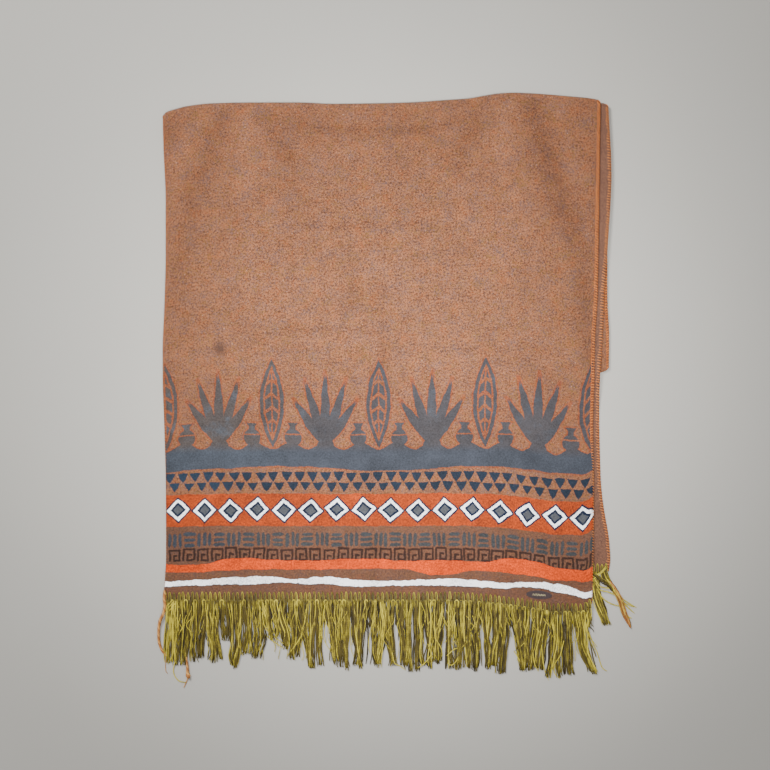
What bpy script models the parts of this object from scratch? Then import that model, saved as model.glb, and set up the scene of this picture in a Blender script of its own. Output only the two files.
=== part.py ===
"""A wide painted stole with a fringe at both ends, folded in four layers and laid flat.

X runs across the cloth, Y from its front end up to the top fold, and Z up from the surface it lies on.
Sizes and tables are in millimetres from the middle of the front end, and the finished solids are in metres.
The sheet runs from the front end up the front layer, round the outer fold to the floor layer, round the
middle fold to the inner layer, and round the inner fold to the back layer, which ends near the front end.
"""

import math

import bmesh
import bpy
import numpy as np

MM = 0.001

# The cloth
THICK = 1.6
LAYER_PITCH = 2.6
WIDTH = 584.0
GAP = 0.3

# Heights of the middle of each layer
FLOOR_Z = THICK / 2
INNER_Z = FLOOR_Z + LAYER_PITCH
BACK_Z = INNER_Z + LAYER_PITCH
FRONT_Z = BACK_Z + LAYER_PITCH

# Below the middle fold the front and back layers sink by two layers, over this length
SINK_FROM = 307.0
SINK_LENGTH = 62.0
SINK = 2 * LAYER_PITCH

# The rows of each layer are laid out between these plain lines, then moved to the drawn folds and ends
OUTER_LINE = 667.0
INNER_LINE = 668.0
MIDDLE_LINE = 309.2
BACK_LINE = 38.0
FRONT_LINE = 0.0

# The front layer lifts over the loops of the back fringe, then falls to its own end
LIFT_FROM, LIFT_BY = 84.0, 55.0
FALL_FROM, FALL_BY = 32.0, 20.0
LIFT_Z = 4.3
END_Z = 3.2

# The fringe
STRIP_GAP = 0.6
LOOP_PITCH = 6.1
LOOP_SPACE = 0.7
LOOP_LENGTH = 12.0
LOOP_HEIGHT = 1.0
LOOP_ROUND = 0.6
STRIP = 5.0

# Its locks: the space between two, how far a group draws together at its tips, and how it lies
LOCK_SPACE = 0.7
TIP_SHARE = 0.52
TIP_THICK = 0.9
DRAW_EARLY = 1.2
HALFWAY, FURTHER = 0.5, 0.75
HIDDEN_PITCH = 12.2
SHOWN_LOOPS = 6
SETTLE_FROM, SETTLE_BY = -42.0, -58.0
ROOT_LINE = -6.0

# The label
LABEL_AT = (216.5, 6.4)
LABEL_SIZE = (34.8, 11.2)
LABEL_TURN = math.radians(-4.0)
LABEL_THICK = 0.8
LABEL_POINTS = 28


def table(columns, *rows):
    """A short table, as one array for each named column."""
    return dict(zip(columns.split(), np.array(rows, float).T))


# Side edges of the front layer, from its end up to the outer fold
FRONT_SIDES = table(
    "up left right",
    (0, -291.9, 288.2),
    (25, -289.6, 288.9),
    (60, -287.7, 289.3),
    (115, -287.9, 290.1),
    (160, -288.2, 290.1),
    (235, -290.1, 288.9),
    (300, -291.6, 290.4),
    (345, -291.6, 290.9),
    (410, -289.2, 294.5),
    (475, -287.6, 295.6),
    (545, -287.6, 296.8),
    (625, -290.5, 297.8),
    (655, -291.4, 298.4),
)

# Right edge of the back layer, from its end up to the inner fold
BACK_SIDE = table(
    "up right",
    (38, 310.6),
    (54, 312.7),
    (77, 311.3),
    (94, 309.1),
    (111, 305.8),
    (136, 302.1),
    (160, 299.8),
    (196, 298.6),
    (243, 297.7),
    (290, 297.9),
    (338, 300.6),
    (371, 302.4),
    (418, 304.4),
    (472, 308.1),
    (578, 313.6),
    (668, 309.5),
)

# Right edge of the inner layer, from the middle fold up to the inner fold
INNER_SIDE = table(
    "up right",
    (309, 310.5),
    (351, 310.8),
    (405, 308.6),
    (472, 308.5),
    (578, 313.2),
    (668, 309.5),
)

# Side edges of the floor layer, from the middle fold up to the outer fold
FLOOR_SIDES = table(
    "up left right",
    (309, -273.5, 310.5),
    (500, -283.5, 304.5),
    (655, -291.4, 298.4),
)

# Where the folds and the two ends lie, across the cloth
OUTER_FOLD = table(
    "across up",
    (-291.4, 654.0),
    (-288.0, 658.8),
    (-282.2, 661.1),
    (-256.5, 667.8),
    (-224.0, 671.2),
    (-168.8, 672.3),
    (-106.7, 672.3),
    (-63.5, 670.5),
    (-8.0, 671.1),
    (43.2, 672.4),
    (89.1, 675.5),
    (120.2, 677.7),
    (145.8, 682.0),
    (163.4, 684.6),
    (182.3, 685.5),
    (207.9, 684.5),
    (255.2, 680.8),
    (293.5, 676.6),
    (298.4, 673.5),
)
INNER_FOLD = table(
    "across up",
    (-274.5, 652.0),
    (-266.0, 658.0),
    (-150.0, 666.0),
    (20.0, 666.0),
    (100.0, 670.0),
    (180.0, 678.0),
    (250.0, 675.5),
    (288.0, 672.0),
    (298.0, 670.4),
    (303.0, 671.6),
    (309.5, 668.0),
)
MIDDLE_FOLD = table(
    "across up",
    (-273.5, 313.0),
    (-267.0, 308.0),
    (0.0, 305.6),
    (300.0, 307.1),
    (306.0, 309.0),
    (310.5, 313.5),
)
FRONT_END = table(
    "across up",
    (-292.0, 0.0),
    (96.0, 0.0),
    (136.0, -2.0),
    (163.0, -4.7),
    (190.0, -8.1),
    (217.0, -12.2),
    (238.0, -15.5),
    (272.0, -15.5),
    (283.5, -10.8),
    (288.2, -5.0),
)
BACK_END = table("across up", (-273.0, 38.0), (311.0, 38.0))

# Soft folds that show in the front layer: a low line of the cloth, its half width and its depth,
# or a raised one where the depth is below nothing
SOFT_FOLDS = table(
    "x0 y0 x1 y1 half deep",
    (-193, 672, -237, 574, 17, 0.55),
    (-237, 574, -252, 486, 17, 0.45),
    (-215, 672, -270, 560, 15, -0.9),
    (-150, 655, -109, 567, 15, 0.45),
    (204, 672, 235, 574, 16, 0.55),
    (235, 574, 278, 486, 18, 0.5),
    (240, 680, 275, 580, 15, -1.1),
    (-40, 640, 72, 634, 11, 0.3),
    (8, 418, 8, 338, 9, 0.25),
)

# The soft folds fade in above the sinking stretch and out before the outer fold
SOFT_FROM = (250, 320)
SOFT_TO = (-672, -640)

# Groups of locks: where each hangs from, how far its tip leans to the right, and how far below nothing on
# the Y axis it reaches
FRONT_LOCKS = table(
    "root lean reach",
    (-287, -1, 96),
    (-273, 0, 86),
    (-259, 0, 90),
    (-240, -1, 82),
    (-224, 0, 84),
    (-210, 0, 58),
    (-193, -1, 96),
    (-178, 1, 77),
    (-165, 0, 82),
    (-151, 2, 54),
    (-135, 6, 66),
    (-110, 1, 80),
    (-90, 1, 92),
    (-62, 1, 86),
    (-46, 0, 94),
    (-30, 0, 92),
    (-15, -1, 46),
    (1, 0, 90),
    (15, 0, 92),
    (31, 1, 92),
    (46, 0, 100),
    (63, 0, 92),
    (81, 0, 86),
    (98, 0, 96),
    (112, -1, 94),
    (127, 0, 96),
    (147, 0, 97),
    (159, 0, 92),
    (169, 1, 106),
    (181, 0, 96),
    (198, 0, 100),
    (213, 0, 96),
    (229, 0, 109),
    (244, 0, 108),
    (258, 4, 107),
    (274, 16, 101),
    (287, 21, 97),
)
BACK_LOCKS = table(
    "root lean reach",
    (-262, 0, 30),
    (-225, 2, 36),
    (-190, 0, 32),
    (-155, -2, 38),
    (-118, 0, 33),
    (-80, 1, 37),
    (-42, 0, 31),
    (-5, -1, 36),
    (32, 0, 33),
    (70, 2, 38),
    (108, 0, 32),
    (146, 0, 36),
    (184, 1, 38),
    (222, 3, 33),
    (258, 6, 36),
    (288, 20, 37),
    (302, 38, 40),
    (311, 36, 14),
)

# The stray yarn end at the left of the front fringe, from its root to its tip
STRAY = table(
    "across up thick",
    (-299.0, -29.7, 1.9),
    (-299.7, -54.0, 1.9),
    (-295.0, -69.0, 1.8),
    (-290.6, -76.0, 1.5),
    (-289.6, -100.0, 0.8),
)

# Rows of the grid on each layer, and columns across it
FRONT_ROWS = (0, 10, 20, 30, 42, 54, 68, 86, 120, 160, 205, 245, 262, 276, 291, 307, 345, 410, 475, 545, 600, 640)
BACK_ROWS = (578, 520, 472, 418, 371, 338, 307, 291, 276, 262, 245, 196, 160, 136, 111, 94, 77, 54, 38)
INNER_ROWS = (351, 405, 472, 578, 640)
FLOOR_ROWS = (580, 440)
EDGE_COLUMNS = (0.0, 0.006, 0.02, 0.05)
MIDDLE_COLUMNS = 18
OUTER_STEPS, INNER_STEPS = 6, 4


def read(rows, column, key, at):
    """The value of a column where the key column is `at`, on a rounded line through the rows.

    The line's slope at a row is the harmonic mean of the slopes on its two sides, or level where those
    differ in sign, so that the line never swings past a row.
    """
    keys, values = rows[key], rows[column]
    steps = np.diff(values) / np.diff(keys)
    before, after = np.concatenate((steps[:1], steps)), np.concatenate((steps, steps[-1:]))
    both = before * after > 0
    slopes = np.where(both, 2 * before * after / np.where(both, before + after, 1), 0)
    at = np.clip(at, keys[0], keys[-1])
    row = np.clip(np.searchsorted(keys, at) - 1, 0, len(keys) - 2)
    span = keys[row + 1] - keys[row]
    f = (at - keys[row]) / span
    ahead = f * f * (3 - 2 * f)
    leave = f * (1 - f) ** 2 * span * slopes[row]
    arrive = f * f * (f - 1) * span * slopes[row + 1]
    return values[row] * (1 - ahead) + values[row + 1] * ahead + leave + arrive


def ease(at, start, stop):
    """0 up to start and 1 from stop, with a soft step between."""
    f = np.clip((at - start) / (stop - start), 0, 1)
    return f * f * (3 - 2 * f)


def soft_folds(x, y):
    """How far the front layer lies above or below its plain height, from its soft folds."""
    low, high = np.zeros_like(x), np.zeros_like(x)
    for x0, y0, x1, y1, half, deep in zip(*SOFT_FOLDS.values()):
        run = np.array((x1 - x0, y1 - y0))
        length = np.hypot(*run)
        along = np.clip(((x - x0) * run[0] + (y - y0) * run[1]) / length**2, 0, 1)
        off = np.hypot(x - x0 - along * run[0], y - y0 - along * run[1])
        rise = -deep * np.exp(-((off / half) ** 2))
        low, high = np.minimum(low, rise), np.maximum(high, rise)
    return low + high


def sunk(y):
    """How far the front and back layers lie below their full height."""
    return SINK * ease(-y, -SINK_FROM, SINK_LENGTH - SINK_FROM)


def front_height(x, y):
    """Height of the middle of the front layer."""
    level = FRONT_Z - sunk(y)
    level = level + (LIFT_Z - level) * ease(-y, -LIFT_FROM, -LIFT_BY)
    level = level + (END_Z - level) * ease(-y, -FALL_FROM, -FALL_BY)
    away = ease(y, *SOFT_FROM) * ease(-y, *SOFT_TO)
    return level + soft_folds(x, y) * away


def back_height(x, y):
    return BACK_Z - sunk(y)


def inner_height(x, y):
    return np.full_like(x, INNER_Z)


def floor_height(x, y):
    return np.full_like(x, FLOOR_Z)


def columns():
    """Places across the cloth, from 0 at the left edge to 1 at the right, closer at both edges."""
    edge = np.array(EDGE_COLUMNS)
    middle = np.linspace(edge[-1], 1 - edge[-1], MIDDLE_COLUMNS)
    return np.concatenate((edge[:-1], middle, 1 - edge[-2::-1]))


def sides(rows, y):
    """Left and right edge of a layer at a height up the cloth. A layer with one known edge is WIDTH wide."""
    right = read(rows, "right", "up", y)
    left = read(rows, "left", "up", y) if "left" in rows else right - WIDTH
    return left, right


def across(rows, y):
    """Places of the columns between the two edges of a layer."""
    left, right = sides(rows, np.array(float(y)))
    return left + (right - left) * columns()


def flat_row(layer, y, start, stop, start_line, stop_line, height, facing):
    """One row of a layer: points across it, with the way that the painted side faces.

    y runs between start and stop on the plain cloth, and the row is moved with the lines at its two ends.
    """
    x = across(layer, y)
    share = (y - start) / (stop - start)
    moved = (1 - share) * (start_line(x) - start) + share * (stop_line(x) - stop)
    up = y + moved
    turn = np.full_like(x, facing)
    return np.stack((x, up, height(x, up), 0 * x, turn), axis=1)


def bend_rows(x, centre, middle, radius, first, last, steps, facing):
    """Rows round a fold: part of a circle in the Y and Z plane, round a line across the cloth."""
    rows = []
    for angle in np.linspace(first, last, steps + 1):
        out, up = math.cos(angle), math.sin(angle)
        row = (x, centre + radius * out, middle + radius * up + 0 * x, facing * out + 0 * x, facing * up + 0 * x)
        rows.append(np.stack(row, axis=1))
    return rows


def outer_centre(x):
    return read(OUTER_FOLD, "up", "across", x) - (FRONT_Z - FLOOR_Z) / 2 - THICK / 2


def inner_centre(x):
    return read(INNER_FOLD, "up", "across", x) - (LAYER_PITCH + THICK) / 2


def middle_centre(x):
    return read(MIDDLE_FOLD, "up", "across", x) + (LAYER_PITCH + THICK) / 2


def front_end(x):
    return read(FRONT_END, "up", "across", x)


def back_end(x):
    return read(BACK_END, "up", "across", x)


def cloth_rows():
    """All the rows of the sheet, from its front end to its back end."""
    quarter = math.pi / 2
    up_front = (FRONT_LINE, OUTER_LINE, front_end, outer_centre, front_height, 1)
    rows = [flat_row(FRONT_SIDES, y, *up_front) for y in FRONT_ROWS]

    x = across(FRONT_SIDES, OUTER_LINE)
    radius = (FRONT_Z - FLOOR_Z) / 2
    rows += bend_rows(x, outer_centre(x), FLOOR_Z + radius, radius, quarter, -quarter, OUTER_STEPS, 1)

    down_floor = (MIDDLE_LINE, OUTER_LINE, middle_centre, outer_centre, floor_height, -1)
    rows += [flat_row(FLOOR_SIDES, y, *down_floor) for y in FLOOR_ROWS]

    x = across(FLOOR_SIDES, MIDDLE_LINE)
    radius = LAYER_PITCH / 2
    rows += bend_rows(x, middle_centre(x), FLOOR_Z + radius, radius, -quarter, -3 * quarter, INNER_STEPS, 1)

    up_inner = (MIDDLE_LINE, INNER_LINE, middle_centre, inner_centre, inner_height, 1)
    rows += [flat_row(INNER_SIDE, y, *up_inner) for y in INNER_ROWS]

    x = across(BACK_SIDE, INNER_LINE)
    rows += bend_rows(x, inner_centre(x), INNER_Z + radius, radius, -quarter, quarter, INNER_STEPS, -1)

    down_back = (BACK_LINE, INNER_LINE, back_end, inner_centre, back_height, -1)
    rows += [flat_row(BACK_SIDE, y, *down_back) for y in BACK_ROWS]
    return rows


def closed_sheet(rows):
    """Vertices and faces of a closed sheet, THICK through, from the rows of its middle surface."""
    grid = np.array(rows)
    place, facing = grid[..., :3], grid[..., 3:]
    push = np.concatenate((0 * facing[..., :1], facing), axis=2) * THICK / 2
    shape = grid.shape[:2]
    points = np.concatenate(((place + push).reshape(-1, 3), (place - push).reshape(-1, 3)))
    painted = np.arange(shape[0] * shape[1]).reshape(shape)
    other = painted + painted.size
    faces = []
    for one, turned in ((painted, False), (other, True)):
        quads = np.stack((one[:-1, :-1], one[:-1, 1:], one[1:, 1:], one[1:, :-1]), axis=2).reshape(-1, 4)
        faces += (quads[:, ::-1] if turned else quads).tolist()
    for line in (painted[0], painted[-1], painted[:, 0], painted[:, -1]):
        faces += [(a, b, b + painted.size, a + painted.size) for a, b in zip(line[:-1], line[1:])]
    return points, faces


def lock_underside(y):
    """Height of the underside of the front locks: over the back fringe, then down to the surface."""
    start = END_Z - THICK / 2
    over = FLOOR_Z + THICK / 2 + GAP
    level = start + (over - start) * ease(-y, -ROOT_LINE, -SETTLE_FROM)
    return level * (1 - ease(-y, -SETTLE_FROM, -SETTLE_BY))


def on_surface(y):
    return 0 * y


# Corners of the strip's outline, in order
BACK_LOW, BACK_TOP, FRONT_TOP, FRONT_LOW = range(4)


class Fringe:
    """A closed mesh of a narrow strip, with a loop over the cloth's edge and a lock for each cell."""

    def __init__(self):
        self.points = []
        self.faces = []

    def add(self, *places):
        first = len(self.points)
        self.points += places
        return list(range(first, len(self.points)))

    def tube(self, ring, sections):
        """Carry a ring of four corners through sections, each (across, up, underside, width, thickness)."""
        for x, y, low, wide, thick in sections:
            a, b, high = x - wide / 2, x + wide / 2, low + thick
            ahead = self.add((a, y, low), (a, y, high), (b, y, high), (b, y, low))
            self.faces += [(ring[n], ring[n - 3], ahead[n - 3], ahead[n]) for n in range(4)]
            ring = ahead
        self.faces.append(tuple(ring))

    def loop(self, left, right):
        """A raised bar from the strip's top corners over the cloth's edge, GAP clear of the cloth."""
        outlines = []
        for corners in (left, right):
            x, near, top = self.points[corners[BACK_TOP]]
            low, high, far = top + GAP, top + GAP + LOOP_HEIGHT, near + LOOP_LENGTH
            bar = (near, low), (far, low), (far - LOOP_ROUND, high), (near - STRIP + LOOP_ROUND, high)
            outlines.append((corners[BACK_TOP], *self.add(*[(x, *place) for place in bar]), corners[FRONT_TOP]))
        self.faces += outlines
        one, two = outlines
        self.faces += [(one[n], two[n], two[n + 1], one[n + 1]) for n in range(len(one) - 1)]


def lock_line(root, tip, lean, start, stop, under, pitch):
    """Sections of one lock, from its root on the strip to its tip, where its group draws together."""
    halfway = max(SETTLE_FROM, start + HALFWAY * (stop - start))
    further = max(SETTLE_BY, start + FURTHER * (stop - start))
    sections = []
    for y in (halfway, further, stop):
        down = (start - y) / (start - stop)
        drawn = 1 - (1 - down) ** DRAW_EARLY
        wide = (1 - drawn + drawn * TIP_SHARE) * pitch - LOCK_SPACE
        thick = (1 - drawn) * THICK + drawn * TIP_THICK
        x = root + (tip - root) * drawn + lean * down
        sections.append((x, y, float(under(np.array(y))), wide, thick))
    return sections


def strip_near(end, left, right):
    """Where the strip's back lies at the two sides of a cell, STRIP_GAP clear of the cloth's end."""
    x = np.linspace(left, right, 9)
    y = end(x)
    bulge = (np.interp(x, x[[0, -1]], y[[0, -1]]) - y).max()
    return y[0] - STRIP_GAP - bulge, y[-1] - STRIP_GAP - bulge


def fringe(edges, end, level, locks, under, stray=None):
    """The strip, loops and locks of one end. edges holds the left and right of each cell."""
    made = Fringe()
    middles = np.array([(a + b) / 2 for a, b in edges])
    group = np.abs(middles[:, None] - locks["root"]).argmin(axis=1)
    low, high = level - THICK / 2, level + THICK / 2
    strip = []
    for n, (a, b) in enumerate(edges):
        pair = []
        ends = (a + LOOP_SPACE / 2, b - LOOP_SPACE / 2)
        for x, near in zip(ends, strip_near(end, *ends)):
            front = near - STRIP
            pair.append(made.add((x, near, low), (x, near, high), (x, front, high), (x, front, low)))
        left, right = pair
        strip.append(pair)
        made.faces += [
            (left[BACK_LOW], right[BACK_LOW], right[FRONT_LOW], left[FRONT_LOW]),
            (left[BACK_LOW], left[BACK_TOP], right[BACK_TOP], right[BACK_LOW]),
        ]
        made.loop(left, right)
        if stray is not None and n == 0:
            sections = [(x, y, float(under(np.array(y))), thick, thick) for x, y, thick in stray]
        else:
            same = np.flatnonzero(group == group[n])
            tip = locks["root"][group[n]] + (n - (same[0] + same[-1]) / 2) * TIP_SHARE * (b - a)
            lean, reach = locks["lean"][group[n]], locks["reach"][group[n]]
            sections = lock_line(middles[n], tip, lean, front, -reach, under, b - a)
        made.tube([left[FRONT_LOW], left[FRONT_TOP], right[FRONT_TOP], right[FRONT_LOW]], sections)
    for (_, right), (ahead, _) in zip(strip[:-1], strip[1:]):
        made.faces += [(right[k], ahead[k], ahead[k - 3], right[k - 3]) for k in range(4)]
    made.faces += [tuple(strip[0][0]), tuple(strip[-1][1])]
    return made.points, made.faces


def cells(left, right, pitch):
    """Left and right of even cells that fill a length."""
    count = round((right - left) / pitch)
    lines = np.linspace(left, right, count + 1)
    return list(zip(lines[:-1], lines[1:]))


def end_line(row):
    """The straight-sided line of the sheet's end, which the strip of a fringe lies along."""
    return lambda x: np.interp(x, row[:, 0], row[:, 1])


def front_fringe(row):
    edges = cells(row[0, 0], row[-1, 0], LOOP_PITCH)
    stray = list(zip(STRAY["across"], STRAY["up"], STRAY["thick"]))
    return fringe(edges, end_line(row), END_Z, FRONT_LOCKS, lock_underside, stray)


def back_fringe(row):
    left, right = row[0, 0], row[-1, 0]
    shown_from = right - SHOWN_LOOPS * LOOP_PITCH
    edges = cells(left, shown_from, HIDDEN_PITCH) + cells(shown_from, right, LOOP_PITCH)
    return fringe(edges, end_line(row), FLOOR_Z, BACK_LOCKS, on_surface)


def label():
    """A thin oval plate above the front layer."""
    angles = np.linspace(0, 2 * math.pi, LABEL_POINTS, endpoint=False)
    wide, tall = LABEL_SIZE[0] / 2 * np.cos(angles), LABEL_SIZE[1] / 2 * np.sin(angles)
    x = LABEL_AT[0] + wide * math.cos(LABEL_TURN) - tall * math.sin(LABEL_TURN)
    y = LABEL_AT[1] + wide * math.sin(LABEL_TURN) + tall * math.cos(LABEL_TURN)
    low = END_Z + THICK / 2 + GAP
    points = [(a, b, low) for a, b in zip(x, y)] + [(a, b, low + LABEL_THICK) for a, b in zip(x, y)]
    count = LABEL_POINTS
    faces = [tuple(range(count)), tuple(range(count, 2 * count))]
    faces += [(n, (n + 1) % count, (n + 1) % count + count, n + count) for n in range(count)]
    return points, faces


def material(name, colour, roughness):
    made = bpy.data.materials.new(name)
    made.use_nodes = True
    shader = made.node_tree.nodes["Principled BSDF"]
    shader.inputs["Base Color"].default_value = (*colour, 1.0)
    shader.inputs["Roughness"].default_value = roughness
    shader.inputs["Metallic"].default_value = 0.0
    return made


def add_node(name, points, faces, finish, shift):
    """One named object from points in millimetres, moved so that the origin is under its middle."""
    mesh = bpy.data.meshes.new(name)
    mesh.from_pydata(((np.array(points) + shift) * MM).tolist(), [], [list(face) for face in faces])
    shape = bmesh.new()
    shape.from_mesh(mesh)
    bmesh.ops.triangulate(shape, faces=shape.faces)
    bmesh.ops.recalc_face_normals(shape, faces=shape.faces)
    shape.to_mesh(mesh)
    shape.free()
    mesh.materials.append(finish)
    made = bpy.data.objects.new(name, mesh)
    bpy.context.scene.collection.objects.link(made)
    return made


def main():
    for old in list(bpy.data.objects):
        bpy.data.objects.remove(old, do_unlink=True)
    wool = material("tan_wool", (0.41, 0.22, 0.13), 0.95)
    yarn = material("olive_yarn", (0.36, 0.29, 0.09), 0.7)
    backing = material("dark_label", (0.07, 0.04, 0.045), 0.8)
    rows = cloth_rows()
    parts = {
        "cloth": (*closed_sheet(rows), wool),
        "front_fringe": (*front_fringe(rows[0]), yarn),
        "back_fringe": (*back_fringe(rows[-1]), yarn),
        "label": (*label(), backing),
    }
    every = np.concatenate([np.array(points) for points, _, _ in parts.values()])
    low, high = every.min(axis=0), every.max(axis=0)
    shift = -np.array(((low[0] + high[0]) / 2, (low[1] + high[1]) / 2, low[2]))
    for name, (points, faces, finish) in parts.items():
        add_node(name, points, faces, finish, shift)


main()
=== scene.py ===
"""The looks of a wide painted stole, folded in four layers, with a yarn fringe at both ends.

Shapes are worked out in millimetres on the cloth's own plan: X runs across the cloth from its middle, Y
from its front end up to the top fold, and Z up from the surface. Finished meshes are in metres, in the
frame's place. The sheet runs from the front end up the front layer, round the outer fold to the floor
layer, round the middle fold to the inner layer, and round the inner fold to the back layer, which ends
near the front end.
"""

import math

import bpy
import numpy as np
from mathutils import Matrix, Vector


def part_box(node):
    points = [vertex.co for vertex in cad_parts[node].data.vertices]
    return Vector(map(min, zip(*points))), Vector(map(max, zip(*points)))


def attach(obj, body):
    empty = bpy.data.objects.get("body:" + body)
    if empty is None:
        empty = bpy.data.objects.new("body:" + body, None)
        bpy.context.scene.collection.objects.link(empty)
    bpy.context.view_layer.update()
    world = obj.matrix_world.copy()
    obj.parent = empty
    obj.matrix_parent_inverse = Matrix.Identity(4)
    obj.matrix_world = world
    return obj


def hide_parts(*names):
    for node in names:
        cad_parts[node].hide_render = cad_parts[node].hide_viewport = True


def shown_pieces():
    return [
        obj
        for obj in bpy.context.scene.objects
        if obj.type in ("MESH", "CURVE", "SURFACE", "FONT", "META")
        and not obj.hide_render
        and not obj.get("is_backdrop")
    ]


bl_info = {
    "name": "Folded fringed stole",
    "version": (1, 0, 0),
    "blender": (4, 5, 0),
    "location": "3D View > Sidebar > Stole",
    "description": "Makes a folded, painted stole with yarn fringes on its packed frame",
    "category": "Object",
}

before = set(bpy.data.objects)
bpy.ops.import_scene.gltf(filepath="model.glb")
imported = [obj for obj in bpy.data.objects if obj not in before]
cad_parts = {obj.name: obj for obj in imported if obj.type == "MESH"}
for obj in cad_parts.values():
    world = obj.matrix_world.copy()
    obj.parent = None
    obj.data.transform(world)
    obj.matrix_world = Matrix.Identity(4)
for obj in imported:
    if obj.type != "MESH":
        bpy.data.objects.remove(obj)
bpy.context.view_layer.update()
MM = 0.001
BODY = "root"


def table(columns, *rows):
    """A short table, as one array for each named column."""
    return dict(zip(columns.split(), np.array(rows, float).T))


def tables(columns, **rows):
    """Short tables of the same columns, by name."""
    return {name: table(columns, *some) for name, some in rows.items()}


def srgb(red, green, blue):
    """A colour given as on a screen, from 0 to 255, in the linear values that Blender keeps."""
    share = np.array((red, green, blue)) / 255
    return tuple(np.where(share <= 0.04045, share / 12.92, ((share + 0.055) / 1.055) ** 2.4).tolist())


# The cloth: the pitch of its layers, its thickness and width, the height of the middle of each layer, and
# how far up its folds and ends lie where they are plain
LAYER_PITCH = 2.6
THICK = 1.6
WIDTH = 584.0
FLOOR_Z = THICK / 2
INNER_Z = FLOOR_Z + LAYER_PITCH
BACK_Z = INNER_Z + LAYER_PITCH
FRONT_Z = BACK_Z + LAYER_PITCH
OUTER_LINE = 667.0
INNER_LINE = 668.0
MIDDLE_LINE = 309.2
BACK_LINE = 38.0
FRONT_LINE = 0.0

# Below the middle fold the front and back layers sink by two layers
SINK_FROM, SINK_LENGTH, SINK = 307.0, 62.0, 2 * LAYER_PITCH

# The front layer lifts over the loops of the back fringe, then falls to its own end
LIFT_FROM, LIFT_BY, LIFT_Z = 84.0, 55.0, 4.3
FALL_FROM, FALL_BY, END_Z = 32.0, 20.0, 3.2

# The fringe: the pitch of its loops, the share of a group's width that its tips keep, and how early its
# yarns are drawn together
LOOP_PITCH, TIP_SHARE, DRAW_EARLY = 6.1, 0.64, 1.2

# The front locks start down from the root line, and come to the surface between the two settle lines
ROOT_LINE, SETTLE_FROM, SETTLE_BY = -6.0, -42.0, -58.0

# The clearance between pieces that lie on each other
GAP = 0.3

# Side edges of the front layer, from its end up to the outer fold
FRONT_SIDES = table(
    "up left right",
    (0, -291.9, 288.2),
    (25, -289.6, 288.9),
    (60, -287.7, 289.3),
    (115, -287.9, 290.1),
    (160, -288.2, 290.1),
    (235, -290.1, 288.9),
    (300, -291.6, 290.4),
    (345, -291.6, 290.9),
    (410, -289.2, 294.5),
    (475, -287.6, 295.6),
    (545, -287.6, 296.8),
    (625, -290.5, 297.8),
    (655, -291.4, 298.4),
)

# Right edge of the back layer, from its end up to the inner fold
BACK_SIDE = table(
    "up right",
    (38, 310.6),
    (54, 312.7),
    (77, 311.3),
    (94, 309.1),
    (111, 305.8),
    (136, 302.1),
    (160, 299.8),
    (196, 298.6),
    (243, 297.7),
    (290, 297.9),
    (338, 300.6),
    (371, 302.4),
    (418, 304.4),
    (472, 308.1),
    (578, 313.6),
    (668, 309.5),
)

# Right edge of the inner layer, from the middle fold up to the inner fold
INNER_SIDE = table(
    "up right",
    (309, 310.5),
    (351, 310.8),
    (405, 308.6),
    (472, 308.5),
    (578, 313.2),
    (668, 309.5),
)

# Side edges of the floor layer, from the middle fold up to the outer fold
FLOOR_SIDES = table(
    "up left right",
    (309, -273.5, 310.5),
    (500, -283.5, 304.5),
    (655, -291.4, 298.4),
)

# Where the folds and the two ends lie, across the cloth
OUTER_FOLD = table(
    "across up",
    (-291.4, 654.0),
    (-288.0, 658.8),
    (-282.2, 661.1),
    (-256.5, 667.8),
    (-224.0, 671.2),
    (-168.8, 672.3),
    (-106.7, 672.3),
    (-63.5, 670.5),
    (-8.0, 671.1),
    (43.2, 672.4),
    (89.1, 675.5),
    (120.2, 677.7),
    (145.8, 682.0),
    (163.4, 684.6),
    (182.3, 685.5),
    (207.9, 684.5),
    (255.2, 680.8),
    (293.5, 676.6),
    (298.4, 673.5),
)
INNER_FOLD = table(
    "across up",
    (-274.5, 652.0),
    (-266.0, 658.0),
    (-150.0, 666.0),
    (20.0, 666.0),
    (100.0, 670.0),
    (180.0, 678.0),
    (250.0, 675.5),
    (288.0, 672.0),
    (298.0, 670.4),
    (303.0, 671.6),
    (309.5, 668.0),
)
MIDDLE_FOLD = table(
    "across up",
    (-273.5, 313.0),
    (-267.0, 308.0),
    (0.0, 305.6),
    (300.0, 307.1),
    (306.0, 309.0),
    (310.5, 313.5),
)
FRONT_END = table(
    "across up",
    (-292.0, 0.0),
    (96.0, 0.0),
    (136.0, -2.0),
    (163.0, -4.7),
    (190.0, -8.1),
    (217.0, -12.2),
    (238.0, -15.5),
    (272.0, -15.5),
    (283.5, -10.8),
    (288.2, -5.0),
)
BACK_END = table("across up", (-273.0, 38.0), (311.0, 38.0))

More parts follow.
